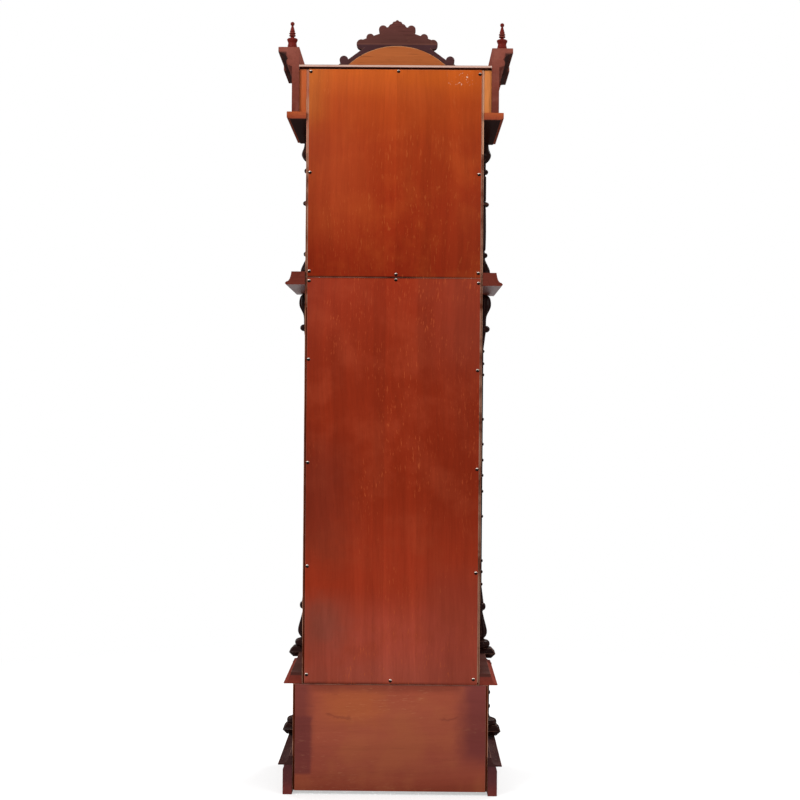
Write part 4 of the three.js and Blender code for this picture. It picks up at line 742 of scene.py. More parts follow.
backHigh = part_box("lower_back_panel")[1]
caseLow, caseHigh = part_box("case_side_right")
baseLow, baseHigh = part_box("base_side_right")
backFace, frontFace = backHigh.y, -backHigh.y
caseHalf, baseHalf = caseHigh.x, baseHigh.x
seatGap = 0.0003
fillet = 0.004
beyond = 0.5  # cuts reach well past the clock


def rearFaces(bm):
    bm.normal_update()
    return [face for face in bm.faces if face.normal.y > 0.99]


def wearStrip(bm, reach, low):  # pale strip of the rear edge beside the back panels, from a height up
    for point, normal in (((-reach, 0, 0), (1, 0, 0)), ((reach, 0, 0), (1, 0, 0)), ((0, 0, low), (0, 0, 1))):
        parts = set()
        for face in rearFaces(bm):
            parts.update((face, *face.edges, *face.verts))
        bmesh.ops.bisect_plane(bm, geom=list(parts), plane_co=point, plane_no=normal)
    middles = {face: face.calc_center_median() for face in rearFaces(bm)}
    markWorn(bm, [face for face, at in middles.items() if abs(at.x) < reach and at.z > low])


boardKinds = {  # the panels' rear faces lie in, so that the screw heads stay inside the outline
    "frame_wood": {"bevel": 0.0016, "inset": 0.0},
    "panel_wood": {"bevel": 0.001, "inset": 0.002},
    "light_wood": {"bevel": 0.001, "inset": 0.0},
}
boards = {
    "base_side_left": ("sideWood", "frame_wood"),
    "base_side_right": ("sideWood", "frame_wood"),
    "base_back_panel": ("basePanelWood", "panel_wood"),
    "case_side_left": ("caseSideWood", "frame_wood"),
    "case_side_right": ("caseSideWood", "frame_wood"),
    "lower_back_panel": ("lowerPanelWood", "panel_wood"),
    "upper_back_panel": ("upperPanelWood", "panel_wood"),
    "frieze_filler_left": ("paleFillerWood", "light_wood"),
    "frieze_filler_right": ("fillerWood", "light_wood"),
}
crosswise = ("base_back_panel",)
rearStrip = {"width": 0.0035, "case_side_left": 0.33, "case_side_right": 1.42}  # pale from these heights up


def addCaseBoard(bm, node, kind):
    low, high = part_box(node)
    addBoard(bm, low, high - Vector((0, kind["inset"], 0)), kind["bevel"])
    layGrain(bm, "x" if node in crosswise else "z")
    if node in rearStrip:
        wearStrip(bm, backHigh.x + rearStrip["width"], rearStrip[node])


for node, (finish, slot) in boards.items():
    shaped(node + "_board", finish, slot, addCaseBoard, node, boardKinds[slot], node=node)

topStep = {"depth": 0.011, "height": 0.0045, "bevel": 0.0012}  # rebate under the rear edge
topLow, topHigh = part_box("top_board")
stepY, stepZ = topHigh.y - topStep["depth"], topLow.z + topStep["height"]
topOutline = [(topLow.y, topLow.z), (stepY, topLow.z), (stepY, stepZ), (topHigh.y, stepZ),
              (topHigh.y, topHigh.z), (topLow.y, topHigh.z)]
shaped("top_board_plank", "rawEdgeWood", "light_wood", addPlate, topOutline, topLow.x, topHigh.x,
       lambda y, z, x: Vector((x, y, z)), topStep["bevel"], node="top_board", along="x")
print("carcass boards:", len(boards))


# Plinth, base and mouldings

def sweptPiece(node, profile, path, finish, slot="frame_wood", cuts=(), joins=()):
    shaped(node + "_run", finish, slot, addSweep, profile, path, level, node=node, cuts=cuts, joins=joins)


def seatsFor(block):
    return bothHands([block[axis][0] - seatGap for axis in "xyz"],
                     [block[axis][1] + seatGap for axis in "xyz"])


def covedProfile(inner, look, low, high, ease=0.0):
    reach, topReach = look["reach"], look["topReach"]
    return [
        (inner, low), (reach, low), (reach, low + fillet),
        *bent((reach - fillet, low + fillet), (topReach + ease, low + fillet + ease),
              (topReach, high - fillet)),
        (topReach, high), (inner, high),
    ]


skirt = {"step": 0.012, "lip": 0.008, "setback": 0.003}
skirtLow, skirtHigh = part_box("plinth_skirt")
skirtInner, top = baseHalf + seatGap, skirtHigh.z
thick = skirtHigh.x - skirtInner
skirtProfile = [(0, 0), (thick, 0), (thick, top - skirt["step"]),
                (thick - skirt["setback"], top - skirt["lip"]), (thick - skirt["setback"], top), (0, top)]
skirtPath = roundPath(skirtInner, skirtLow.y + thick, backFace)
sweptPiece("plinth_skirt", skirtProfile, skirtPath, "skirtWood")

plinthCap = {"reach": 0.041, "topReach": 0.010}
plinthBlock = {"x": (0.246, 0.343), "y": (-0.222, -0.135), "z": (0.0966, 0.1283), "bevel": 0.013}
low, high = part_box("plinth_moulding")
sweptPiece("plinth_moulding", covedProfile(0, plinthCap, low.z, high.z), skirtPath, "plinthCapWood",
           cuts=seatsFor(plinthBlock))

frontBoard = {"thick": 0.019, "bevel": 0.0012}
low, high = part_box("base_front_panel")
baseFront, thick = low.y, frontBoard["thick"]
frontPlan = [(high.x, baseFront), (high.x, high.y), (high.x - thick, high.y),
             (high.x - thick, baseFront + thick)]
frontPlan += [(-x, y) for x, y in reversed(frontPlan)]
shaped("base_front_board", "sideWood", "panel_wood", addPlate, frontPlan, low.z, high.z, level,
       frontBoard["bevel"], node="base_front_panel", along="z")

baseMould = {"reach": 0.027, "topReach": 0.007}
waistBlock = {"x": (0.240, 0.326), "y": (-0.222, -0.1503), "z": (0.3383, 0.369), "bevel": 0.013}
low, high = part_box("base_moulding")
caseSkin = caseHalf + seatGap
sweptPiece("base_moulding", covedProfile(caseSkin - baseHalf, baseMould, low.z, high.z, fillet),
           roundPath(baseHalf, baseFront, caseHigh.y), "baseMouldWood", cuts=seatsFor(waistBlock))

hoodMould = {"reach": 0.058, "topReach": 0.040, "tipDrop": 0.033, "beadReach": 0.050, "beadHeight": 0.014,
             "sideHeight": 0.038, "cornerLength": 0.092}
hoodLow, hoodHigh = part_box("hood_moulding")
z0, z1 = hoodLow.z, hoodHigh.z
tip, half = z1 - hoodMould["tipDrop"], hoodMould["beadHeight"] / 2
reach, topReach = hoodMould["reach"], hoodMould["topReach"]
hoodProfile = [
    (0, z0), *beadAt(z0 + half, hoodMould["beadReach"], half, hoodMould["beadReach"] - fillet),
    (reach, tip - fillet / 2), (reach, tip),
    *bent((reach - fillet, tip + fillet), (topReach + fillet, tip + fillet), (topReach, z1 - fillet)),
    (topReach, z1), (0, z1),
]
sideFoot = z1 - hoodMould["sideHeight"]
underSides = ((-beyond, frontFace + hoodMould["cornerLength"], z0 - fillet), (beyond, beyond, sideFoot))
underCorners = bothHands((caseSkin, -beyond, z0 - fillet), (beyond, 0, sideFoot))
sweptPiece("hood_moulding", hoodProfile, roundPath(caseSkin, frontFace + reach, backFace), "hoodMouldWood",
           "dark_wood", [underSides, *underCorners])


def corniceProfile(bottom, top, look):
    foot, bead, reach = look["foot"], look["bead"], look["reach"]
    rise, fascia = bead - foot, top - look["fascia"]
    return [
        (0, bottom), (foot, bottom),
        *bent((foot, bottom), (bead + fillet, bottom + rise * 0.3), (bead - fillet, bottom + rise), 8)[1:],
        *bent((bead - 2 * fillet, bottom + rise + fillet), (bead, fascia - fillet), (reach - fillet, fascia)),
        (reach, fascia), (reach, top), (0, top),
    ]


lowerCornice = {"foot": 0.014, "bead": 0.038, "reach": 0.057, "fascia": 0.018, "sideHeight": 0.022,
                "endGap": 0.001}
corniceLow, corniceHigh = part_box("lower_cornice")
corniceEnd = caseHalf - lowerCornice["endGap"]
underEnds = bothHands((corniceEnd, -beyond, corniceLow.z - fillet),
                      (beyond, beyond, corniceHigh.z - lowerCornice["sideHeight"]))
sweptPiece("lower_cornice", corniceProfile(corniceLow.z, corniceHigh.z, lowerCornice),
           roundPath(caseSkin, frontFace + lowerCornice["reach"], backFace), "lowerCorniceWood",
           cuts=underEnds)

upperCornice = {"foot": 0.021, "bead": 0.040, "reach": 0.061, "fascia": 0.016, "drop": 0.056,
                "break": 0.005, "blockLength": 0.132}
low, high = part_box("upper_cornice_right")
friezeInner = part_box("frieze_filler_right")[1].x + seatGap
corniceBreak = friezeInner + upperCornice["break"]
returnY, blockRear = frontFace + upperCornice["reach"], frontFace + upperCornice["blockLength"]
upperProfile = [(0, low.z), (upperCornice["foot"], low.z),
                *corniceProfile(high.z - upperCornice["drop"], high.z, upperCornice)[1:]]
rightRun = [(low.x, returnY), (corniceBreak, returnY), (corniceBreak, blockRear), (friezeInner, blockRear),
            (friezeInner, backFace)]
sliver, halfFoot = 0.0001, upperCornice["foot"] / 2
infill = bothHands((friezeInner - sliver, returnY - halfFoot, low.z + sliver),
                   (corniceBreak + halfFoot, blockRear + halfFoot, high.z - sliver))
leftRun = [(-x, y) for x, y in reversed(rightRun)]
for hand, run, block in (("right", rightRun, infill[0]), ("left", leftRun, infill[1])):
    sweptPiece("upper_cornice_" + hand, upperProfile, run, "upperCorniceWood", joins=[block])
print("mouldings done")


# Arch and crest

arch = {"radius": 0.226, "rim": 0.022, "rise": 0.060, "centreRise": 0.052, "boardBevel": 0.0012,
        "crestBevel": 0.0016}
boardLow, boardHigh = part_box("tympanum")
crestLow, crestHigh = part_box("crest")
archZ = corniceHigh.z + arch["centreRise"]
shoulderZ = crestLow.z - seatGap


def onArch(radius, degrees):  # degrees from the top of the arch, towards the right
    turn = math.radians(90 - degrees)
    return (radius * math.cos(turn), archZ + radius * math.sin(turn))


def footAngle(radius, floor):
    return math.degrees(math.acos((floor - archZ) / radius))


def archLine(radius, floor, steps=64):  # right foot over the top to the left foot
    foot = footAngle(radius, floor)
    return [onArch(radius, foot - 2 * foot * i / steps) for i in range(steps + 1)]


tympanumLine = [
    (-boardHigh.x, boardLow.z), (boardHigh.x, boardLow.z), (boardHigh.x, shoulderZ),
    *archLine(arch["radius"], shoulderZ), (-boardHigh.x, shoulderZ),
]
shaped("tympanum_board", "archWood", "light_wood", addPlate, tympanumLine, boardLow.y, boardHigh.y, upright,
       arch["boardBevel"], node="tympanum", along="x")

crestLobes = [
    {"at": 9.1, "rise": 0.0335, "radius": 0.0134, "from": 150, "to": -60},
    {"at": 18.6, "rise": 0.018, "radius": 0.0126, "from": 150, "to": -10},
    {"at": 26.0, "rise": 0.010, "radius": 0.015, "from": 110, "to": -120},
    {"at": 42.8, "rise": -0.0013, "radius": 0.0138, "from": 170, "to": -60},
]
crestPeak = [(0, 0), (0.6, 0.0009), (1.1, 0.0042), (2.0, 0.0046), (2.7, 0.0072), (3.1, 0.0112), (4.2, 0.0128),
             (5.0, 0.016), (5.6, 0.0205)]
crestOuter, crestBand = arch["radius"] + arch["rim"], 47


def crestHalf(lobeSteps=14, bandSteps=12):
    half = [onArch(crestOuter + arch["rise"] - drop, at) for at, drop in crestPeak]
    for lobe in crestLobes:
        x, z = onArch(crestOuter + lobe["rise"], lobe["at"])
        for i in range(lobeSteps + 1):
            turn = math.radians(lobe["from"] + (lobe["to"] - lobe["from"]) * i / lobeSteps)
            half.append((x + lobe["radius"] * math.cos(turn), z + lobe["radius"] * math.sin(turn)))
    rest = footAngle(crestOuter, crestLow.z) - crestBand
    return half + [onArch(crestOuter, crestBand + rest * i / bandSteps) for i in range(bandSteps + 1)]


crestSide = crestHalf()
crestLine = ([(-x, z) for x, z in reversed(crestSide[1:])] + crestSide
             + archLine(arch["radius"] + seatGap, crestLow.z))
shaped("crest_board", "crestWood", "crest_wood", addPlate, crestLine[::-1], crestLow.y, crestHigh.y, upright,
       arch["crestBevel"], node="crest", along="x")
print("arch and crest done")


# Turned columns and finials

def gadroon(count, depth, low, high):  # rounded lobes that fade out at both ends
    def relief(angle, height):
        if not low < height < high:
            return 1.0
        fade = math.sin(math.pi * (height - low) / (high - low)) ** 0.5
        return 1.0 - depth * fade * (1 - abs(math.sin(count * angle / 2)))
    return relief


blockRound = 0.001


def addBlock(bm, block):  # upright faces bulge to an edge at mid height
    (x0, x1), (y0, y1), (z0, z1) = block["x"], block["y"], block["z"]
    rings = []
    for inset, z in ((block["bevel"], z0), (0.0, (z0 + z1) / 2), (block["bevel"], z1)):
        a, b, c, d = x0 + inset, x1 - inset, y0 + inset, y1 - inset
        rings.append([bm.verts.new((x, y, z)) for x, y in ((a, c), (b, c), (b, d), (a, d))])
    sides, caps = skin(bm, rings)
    roundEdges(bm, {edge for face in sides + caps for edge in face.edges}, blockRound)


def columnPair(kind, profile, centre, finish="columnWood", relief=None, block=None, cuts=()):
    for name, hand in (("left", -1), ("right", 1)):
        node = kind + "_" + name
        handed = [bothHands(*box)[0 if hand > 0 else 1] for box in cuts]
        shaped(node + "_turning", finish, "dark_wood", addTurned, profile,
               standing(hand * centre[0], centre[1]), sides=48, relief=relief, node=node, along="z",
               cuts=handed)
        if block:
            mirrored = dict(block, x=sorted(hand * x for x in block["x"]))
            shaped(node + "_block", finish, "dark_wood", addBlock, mirrored, along="z")


rooted = 0.001  # how far a turning goes into its block
baseColumn = {"centre": (0.291, -0.176), "foot": 0.041, "footHeight": 0.020, "shaft": 0.017, "ring": 0.0205,
              "ringHalf": 0.006, "rings": (0.14, 0.43, 0.9), "cap": 0.024, "capHeight": 0.008}
low, high = plinthBlock["z"][1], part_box("base_column_right")[1].z
foot, rise, shaft, cap = (baseColumn[key] for key in ("foot", "footHeight", "shaft", "cap"))
cupTop, capZ = low + 1.8 * rise, high - baseColumn["capHeight"]
line = [(0, low - rooted), *beadAt(low + 0.4 * rise, foot, rise / 2, 0.8 * foot),
        *bent((0.7 * foot, low + rise), (shaft, low + rise), (shaft, cupTop))]
for share in baseColumn["rings"]:
    line += beadAt(cupTop + share * (capZ - cupTop), baseColumn["ring"], baseColumn["ringHalf"], shaft)
line += [(cap, capZ), (cap, high), (0, high)]
overBase = baseHigh.z + 0.01  # past the columns' tops
baseCuts = [
    ((0, baseFront - seatGap, 0), (baseLow.x, beyond, overBase)),
    ((0, baseLow.y - seatGap, 0), (baseHalf + seatGap, beyond, overBase)),
    ((0, -beyond, low), (plinthBlock["x"][0], beyond, overBase)),
]
columnPair("base_column", line, baseColumn["centre"], block=plinthBlock, cuts=baseCuts)

waistColumn = {"centre": (0.2715, -0.184), "torus": 0.0375, "torusHeight": 0.024, "vase": 0.0285,
               "vaseNeck": 0.014, "vaseHeight": 0.087, "lowerBall": 0.0235, "upperBall": 0.0295,
               "ballHalf": 0.011, "ballCore": 0.017, "shaft": 0.010, "shaftBead": 0.0135, "beadHalf": 0.005,
               "bell": 0.033, "bellHeight": 0.092, "beads": (0.055, 0.17, 0.35, 0.67, 0.75, 0.84),
               "vaseLobes": (12, 0.16), "bellLobes": (12, 0.14)}
torus, vase, ball, core = (waistColumn[key] for key in ("torus", "vase", "ballHalf", "ballCore"))
low, high = waistBlock["z"][1], sideFoot - seatGap
half = waistColumn["torusHeight"] / 2
vaseZ = low + waistColumn["torusHeight"] + fillet
lowerBallZ = vaseZ + waistColumn["vaseHeight"] + ball + fillet
bellZ = high - waistColumn["bellHeight"]
upperBallZ = bellZ - ball - fillet
middle, reach = (lowerBallZ + upperBallZ) / 2, (upperBallZ - lowerBallZ) / 2
vaseShares = [(0.63, 0), (0.95, 0.15), (1.0, 0.34), (0.7, 0.72), (waistColumn["vaseNeck"] / vase, 1)]
bellShares = [(0.54, 0), (0.6, 0.28), (1.0, 0.6), (0.94, 0.88), (0.65, 1)]
line = [(0, low - rooted), *beadAt(low + half, torus, half, 0.73 * torus),
        *flowing(scaled(vaseShares, vase, vaseZ, waistColumn["vaseHeight"])),
        *beadAt(lowerBallZ, waistColumn["lowerBall"], ball, core)]
for share in [-s for s in reversed(waistColumn["beads"])] + list(waistColumn["beads"]):
    line += beadAt(middle + share * reach, waistColumn["shaftBead"], waistColumn["beadHalf"],
                   waistColumn["shaft"], 8)
line += [*beadAt(upperBallZ, waistColumn["upperBall"], ball, core),
         *flowing(scaled(bellShares, waistColumn["bell"], bellZ, waistColumn["bellHeight"])), (0, high)]
waistCuts = [
    ((0, -beyond, low), (caseLow.x, 0, hoodLow.z)),
    ((0, caseLow.y - seatGap, low), (beyond, 0, high + fillet)),
    ((0, -beyond, hoodLow.z - seatGap), (caseSkin + seatGap, 0, high + fillet)),
]
vaseCarving = gadroon(*waistColumn["vaseLobes"], vaseZ, vaseZ + waistColumn["vaseHeight"])
bellCarving = gadroon(*waistColumn["bellLobes"], bellZ, high)
columnPair("waist_column", line, waistColumn["centre"], block=waistBlock, cuts=waistCuts,
           relief=lambda angle, z: vaseCarving(angle, z) * bellCarving(angle, z))

hoodColumn = {"centre": (0.2715, -0.184), "foot": 0.030, "footHeight": 0.074, "neck": 0.013, "ring": 0.0205,
              "middleRing": 0.024, "middleShare": 0.61, "ringHalf": 0.008, "shaft": 0.0145, "cap": 0.029,
              "capHeight": 0.064, "flutes": (12, 0.14), "footLobes": (14, 0.12)}
foot, rise, neck, shaft, half = (hoodColumn[key]
                                 for key in ("foot", "footHeight", "neck", "shaft", "ringHalf"))
low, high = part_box("hood_column_right")[0].z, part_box("hood_column_right")[1].z
lowRing = low + rise + 1.75 * half
capZ = high - hoodColumn["capHeight"]
highRing = capZ - 3.4 * half
middleRing = lowRing + hoodColumn["middleShare"] * (highRing - lowRing)
slim = neck - fillet / 2
footShares = [(1.0, 0.3), (0.96, 0.54), (0.7, 0.78)]
capShares = [(0.8, 0.16), (1.0, 0.4), (0.78, 0.72), (0.7, 1)]
line = [
    (0, low), (foot, low), *flowing(scaled(footShares, foot, low, rise) + [(neck, low + rise)], 8),
    *beadAt(lowRing, hoodColumn["ring"], half, neck),
    *flowing([(slim, lowRing + 1.5 * half), (shaft, lowRing + 3 * half),
              (1.07 * shaft, (lowRing + middleRing) / 2), (shaft, middleRing - 2 * half)], 6),
    *beadAt(middleRing, hoodColumn["middleRing"], half, neck),
    (shaft, middleRing + 2 * half), (shaft, highRing - 2 * half), (slim, highRing - 1.25 * half),
    *beadAt(highRing, hoodColumn["ring"], half, neck), (neck, highRing + 1.5 * half),
    *flowing([(neck, capZ)] + scaled(capShares, hoodColumn["cap"], capZ, hoodColumn["capHeight"]), 8),
    (0, high),
]
hoodCuts = [((0, -beyond, corniceLow.z - seatGap), (corniceEnd + seatGap, 0, high + fillet))]
hoodFlutes = gadroon(*hoodColumn["flutes"], lowRing + 3 * half, middleRing - 2 * half)
hoodFoot = gadroon(*hoodColumn["footLobes"], low + 0.2 * rise, low + rise)
columnPair("hood_column", line, hoodColumn["centre"], cuts=hoodCuts,
           relief=lambda angle, z: hoodFlutes(angle, z) * hoodFoot(angle, z))

finial = {"foot": 0.014, "urn": 0.017, "cup": 0.0166, "tip": 0.0065, "rings": (0.735, 0.777),
          "lobes": (10, 0.12)}
finialLow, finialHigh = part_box("finial_right")
low, high, tall = finialLow.z, finialHigh.z, finialHigh.z - finialLow.z
foot, cup, tip = finial["foot"], finial["cup"], finial["tip"]
ringReach, ringHalf = 1.6 * tip, 0.018 * tall
urnShares = [(0.7, 0.085), (1.0, 0.206), (0.9, 0.29), (0.38, 0.4)]
cupShares = [(0.78, 0.485), (0.92, 0.53), (0.8, 0.59), (1.0, 0.645), (0.94, 0.672), (0.42, 0.695)]
line = [
    (0, low), (foot, low), (foot, low + 0.048 * tall),
    *flowing(scaled(urnShares, finial["urn"], low, tall), 6),
    (0.58 * cup, low + 0.46 * tall), *flowing(scaled(cupShares, cup, low, tall), 5),
    (0.28 * cup, low + 0.712 * tall),
]
for share in finial["rings"]:
    line += beadAt(low + share * tall, ringReach, ringHalf, 0.6 * ringReach, 8)
line += [(0.8 * ringReach, low + 0.81 * tall), (0.46 * tip, high - 1.92 * tip),
         *beadAt(high - tip, tip, 0.98 * tip, 0.15 * tip, 10), (0, high)]
centre = (finialLow + finialHigh) / 2
urnCarving = gadroon(*finial["lobes"], low + 0.085 * tall, low + 0.4 * tall)
columnPair("finial", line, (centre.x, centre.y), "finialWood", urnCarving)
print("turnings done")


# Repeating trim, grown by geometry nodes

def scatterTree(name, sizes, shape, spaced=False):  # one shape on every point, or evenly along drawn lines
    geometry = {"Geometry": "Geometry"}
    tree, given = newTree("GeometryNodeTree", name, {**geometry, **sizes, "Finish": "Material"}, geometry)
    put = {"Points": given["Geometry"], "Instance": shape(tree, given)}
    if spaced:
        line = addNode(tree, "GeometryNodeMeshToCurve", {0: given["Geometry"]}).outputs[0]
        steps = addNode(tree, "GeometryNodeCurveToPoints", {0: line, "Length": given["Spacing"]},
                        mode="LENGTH")
        put["Points"] = steps.outputs[0]
    else:
        turn, put["Scale"] = [addNode(tree, "GeometryNodeInputNamedAttribute", {"Name": label},
                                      data_type="FLOAT_VECTOR").outputs["Attribute"]
                              for label in ("turn", "size")]
        put["Rotation"] = addNode(tree, "FunctionNodeEulerToRotation", {0: turn}).outputs[0]
    spread = addNode(tree, "GeometryNodeInstanceOnPoints", put).outputs[0]
    real = addNode(tree, "GeometryNodeRealizeInstances", {0: spread}).outputs[0]
    coated = addNode(tree, "GeometryNodeSetMaterial",
                     {"Geometry": real, "Material": given["Finish"]}).outputs[0]
    addNode(tree, "NodeGroupOutput", {0: coated})
    return tree


def primitive(tree, kind, **inputs):
    given = {label.replace("_", " "): value for label, value in inputs.items()}
    return addNode(tree, "GeometryNode" + kind, given).outputs[0]


def moved(tree, geometry, **changes):
    return primitive(tree, "Transform", Geometry=geometry, **changes)


def screwShape(tree, sizes):  # low dome with a sawn slot
    radius = sizes["Radius"]
    ball = primitive(tree, "MeshUVSphere", Segments=20, Rings=10, Radius=radius)
    head = moved(tree, ball, Scale=vectorOf(tree, 1, 1, sizes["Dome"]))
    saw = vectorOf(tree, product(tree, radius, 3.0), sizes["Slot"], product(tree, radius, 0.5))
    top = vectorOf(tree, 0, 0, product(tree, radius, sizes["Dome"]))
    bar = moved(tree, primitive(tree, "MeshCube", Size=saw), Translation=top)
    given = {"Mesh 1": head, "Mesh 2": bar}
    return addNode(tree, "GeometryNodeMeshBoolean", given, operation="DIFFERENCE").outputs[0]


def beadShape(tree, sizes):
    return primitive(tree, "MeshIcoSphere", Radius=sizes["Radius"], Subdivisions=2)


def markShape(tree, sizes):
    return primitive(tree, "MeshCube", Size=vectorOf(tree, sizes["Width"], sizes["Thick"], sizes["Length"]))


def petalShape(tree, sizes):  # a long drop that starts at the point and grows upwards
    ball = primitive(tree, "MeshUVSphere", Segments=12, Rings=10, Radius=0.5)
    petal = moved(tree, ball, Scale=vectorOf(tree, sizes["Width"], sizes["Thick"], sizes["Length"]))
    return moved(tree, petal, Translation=vectorOf(tree, 0, 0, product(tree, sizes["Length"], 0.5)))


def knuckleShape(tree, sizes):
    return primitive(tree, "MeshCylinder", Vertices=20, Radius=sizes["Radius"], Depth=sizes["Length"])


def strandShape(tree, sizes):
    turns = calc(tree, "DIVIDE", sizes["Length"], sizes["Lay"])
    helix = primitive(tree, "CurveSpiral", Resolution=12, Rotations=turns, Height=sizes["Length"],
                      Start_Radius=sizes["Offset"], End_Radius=sizes["Offset"])
    section = primitive(tree, "CurvePrimitiveCircle", Resolution=6, Radius=sizes["Radius"])
    return primitive(tree, "CurveToMesh", Curve=helix, Profile_Curve=section, Fill_Caps=True)


screwHeads = scatterTree("screwHeads", {"Radius": 0.005, "Dome": 0.42, "Slot": 0.0011}, screwShape)
beadString = scatterTree("beadString", {"Radius": 0.0018, "Spacing": 0.004}, beadShape, spaced=True)
dialMarks = scatterTree("dialMarks", {"Width": 0.0009, "Thick": 0.0006, "Length": 0.0055}, markShape)
leafFan = scatterTree("leafFan", {"Width": 0.014, "Thick": 0.012, "Length": 0.08}, petalShape)
hingeKnuckles = scatterTree("hingeKnuckles", {"Radius": 0.0028, "Length": 0.03}, knuckleShape)
twistedCable = scatterTree("twistedCable", {"Radius": 0.0006, "Offset": 0.0006, "Lay": 0.018, "Length": 1.0},
                           strandShape)


def grown(name, tree, values, finish, points, turns=None, scales=None, edges=(), along=None, node=None,
          body=None):
    mesh = bpy.data.meshes.new(name)
    mesh.from_pydata([tuple(point) for point in points], list(edges), [])
    for label, rows, usual in (("turn", turns, (0, 0, 0)), ("size", scales, (1, 1, 1))):
        rows = rows or [usual] * len(points)
        layer = mesh.attributes.new(label, "FLOAT_VECTOR", "POINT")
        layer.data.foreach_set("vector", [part for row in rows for part in row])
    piece = linked(name, mesh)
    build = piece.modifiers.new("build", "NODES")
    build.node_group = tree
    given = {**values, "Finish": finishes[finish]}
    for item in tree.interface.items_tree:
        if item.item_type == "SOCKET" and item.in_out == "INPUT" and item.name in given:
            build[item.identifier] = given[item.name]
    frozen(piece)
    smoothed(piece.data, trimCrease)
    if along:
        spots = [vert.co[i] for vert in piece.data.vertices for i in grainOrders[along]]
        piece.data.attributes.new("grainAt", "FLOAT_VECTOR", "POINT").data.foreach_set("vector", spots)
    mount(piece, node, body)
    return piece


def addFan(name, look, finish, roots, along=None):  # petals spread about an aim at each root
    spots, turns, scales = [], [], []
    for root, aim in roots:
        for i in range(look["petals"]):
            share = i / (look["petals"] - 1) - 0.5
            turn = math.radians(look["spread"]) * share
            spots.append(root)
            turns.append((0, aim + turn, 0))
            scales.append((1, 1,
                           look["least"] + look["crown"] * math.cos(turn) - look["taper"] * share * share))
    sizes = {label: look[label.lower()] for label in ("Width", "Thick", "Length")}
    grown(name, leafFan, sizes, finish, spots, turns, scales, along=along)


# Back screws, placed one by one as a joiner would

backScrews = [
    (0.2465, 2.107, 20), (-0.009, 2.109, 75), (-0.2465, 2.102, 130), (0.247, 1.813, 50), (-0.246, 1.810, 5),
    (0.247, 1.525, 95), (-0.006, 1.517, 30), (-0.246, 1.522, 160), (0.247, 1.497, 10), (-0.006, 1.5015, 120),
    (-0.247, 1.493, 80), (0.247, 1.268, 35), (-0.2465, 1.239, 100), (0.247, 0.967, 65), (-0.2465, 0.951, 15),
    (0.246, 0.665, 140), (-0.246, 0.649, 40), (0.2455, 0.349, 85), (0.001, 0.333, 150), (-0.241, 0.339, 25),
]
headSunk = 0.0002
screwY = backFace - boardKinds["panel_wood"]["inset"] - headSunk
grown("back_screws", screwHeads, {}, "screwSteel", [(x, screwY, z) for x, z, turn in backScrews],
      [(-math.pi / 2, math.radians(turn), 0) for x, z, turn in backScrews])
print("back screws:", len(backScrews))


# Glazed doors

door = {"ovolo": 0.0085, "step": 0.0015, "groove": 0.0030, "grooveInset": 0.012, "bead": 0.0017,
        "beadInset": 0.0125, "glassMargin": 0.014, "glassDrop": 0.0014, "glassCrease": 10, "plate": 0.0145,
        "plateThick": 0.0012, "knuckle": 0.026, "knuckleGap": 0.0006, "hingeRadius": 0.0028,
        "hingeSide": 0.001, "leafThick": 0.0017, "leafBevel": 0.0003}
knobShares = [(0.8, 0.12), (0.4, 0.2), (0.4, 0.38), (0.62, 0.41), (0.62, 0.45)]
knobBall = [(0.5, 0.47), (0.86, 0.56), (1.0, 0.72), (0.86, 0.87), (0.5, 0.97)]


def rectangle(low, high, inset=0.0):  # anticlockwise, seen from the front
    left, right, bottom, top = low.x + inset, high.x - inset, low.z + inset, high.z - inset
    return [(left, bottom), (right, bottom), (right, top), (left, top)]


def addPane(bm, low, high, margin, drop):  # flat face with a bevelled margin all round
    depths = ((0.0, high.y), (0.0, low.y + drop), (margin, low.y))
    skin(bm, [[bm.verts.new((x, y, z)) for x, z in rectangle(low, high, inset)] for inset, y in depths])


def frameProfile(stile, front, back):
    step, groove, ovolo = door["step"], stile - door["grooveInset"], door["ovolo"]
    rear = groove + door["groove"]
    return [
        *bent((0.0, front + 5 * step), (0.0, front + step), (ovolo, front + step), 6),
        (ovolo + step / 2, front + step), (ovolo + step / 2, front), (groove, front),
        (groove + step, front + step), (rear, front + step), (rear + step, front), (stile, front),
        (stile, back), (0.0, back),
    ]


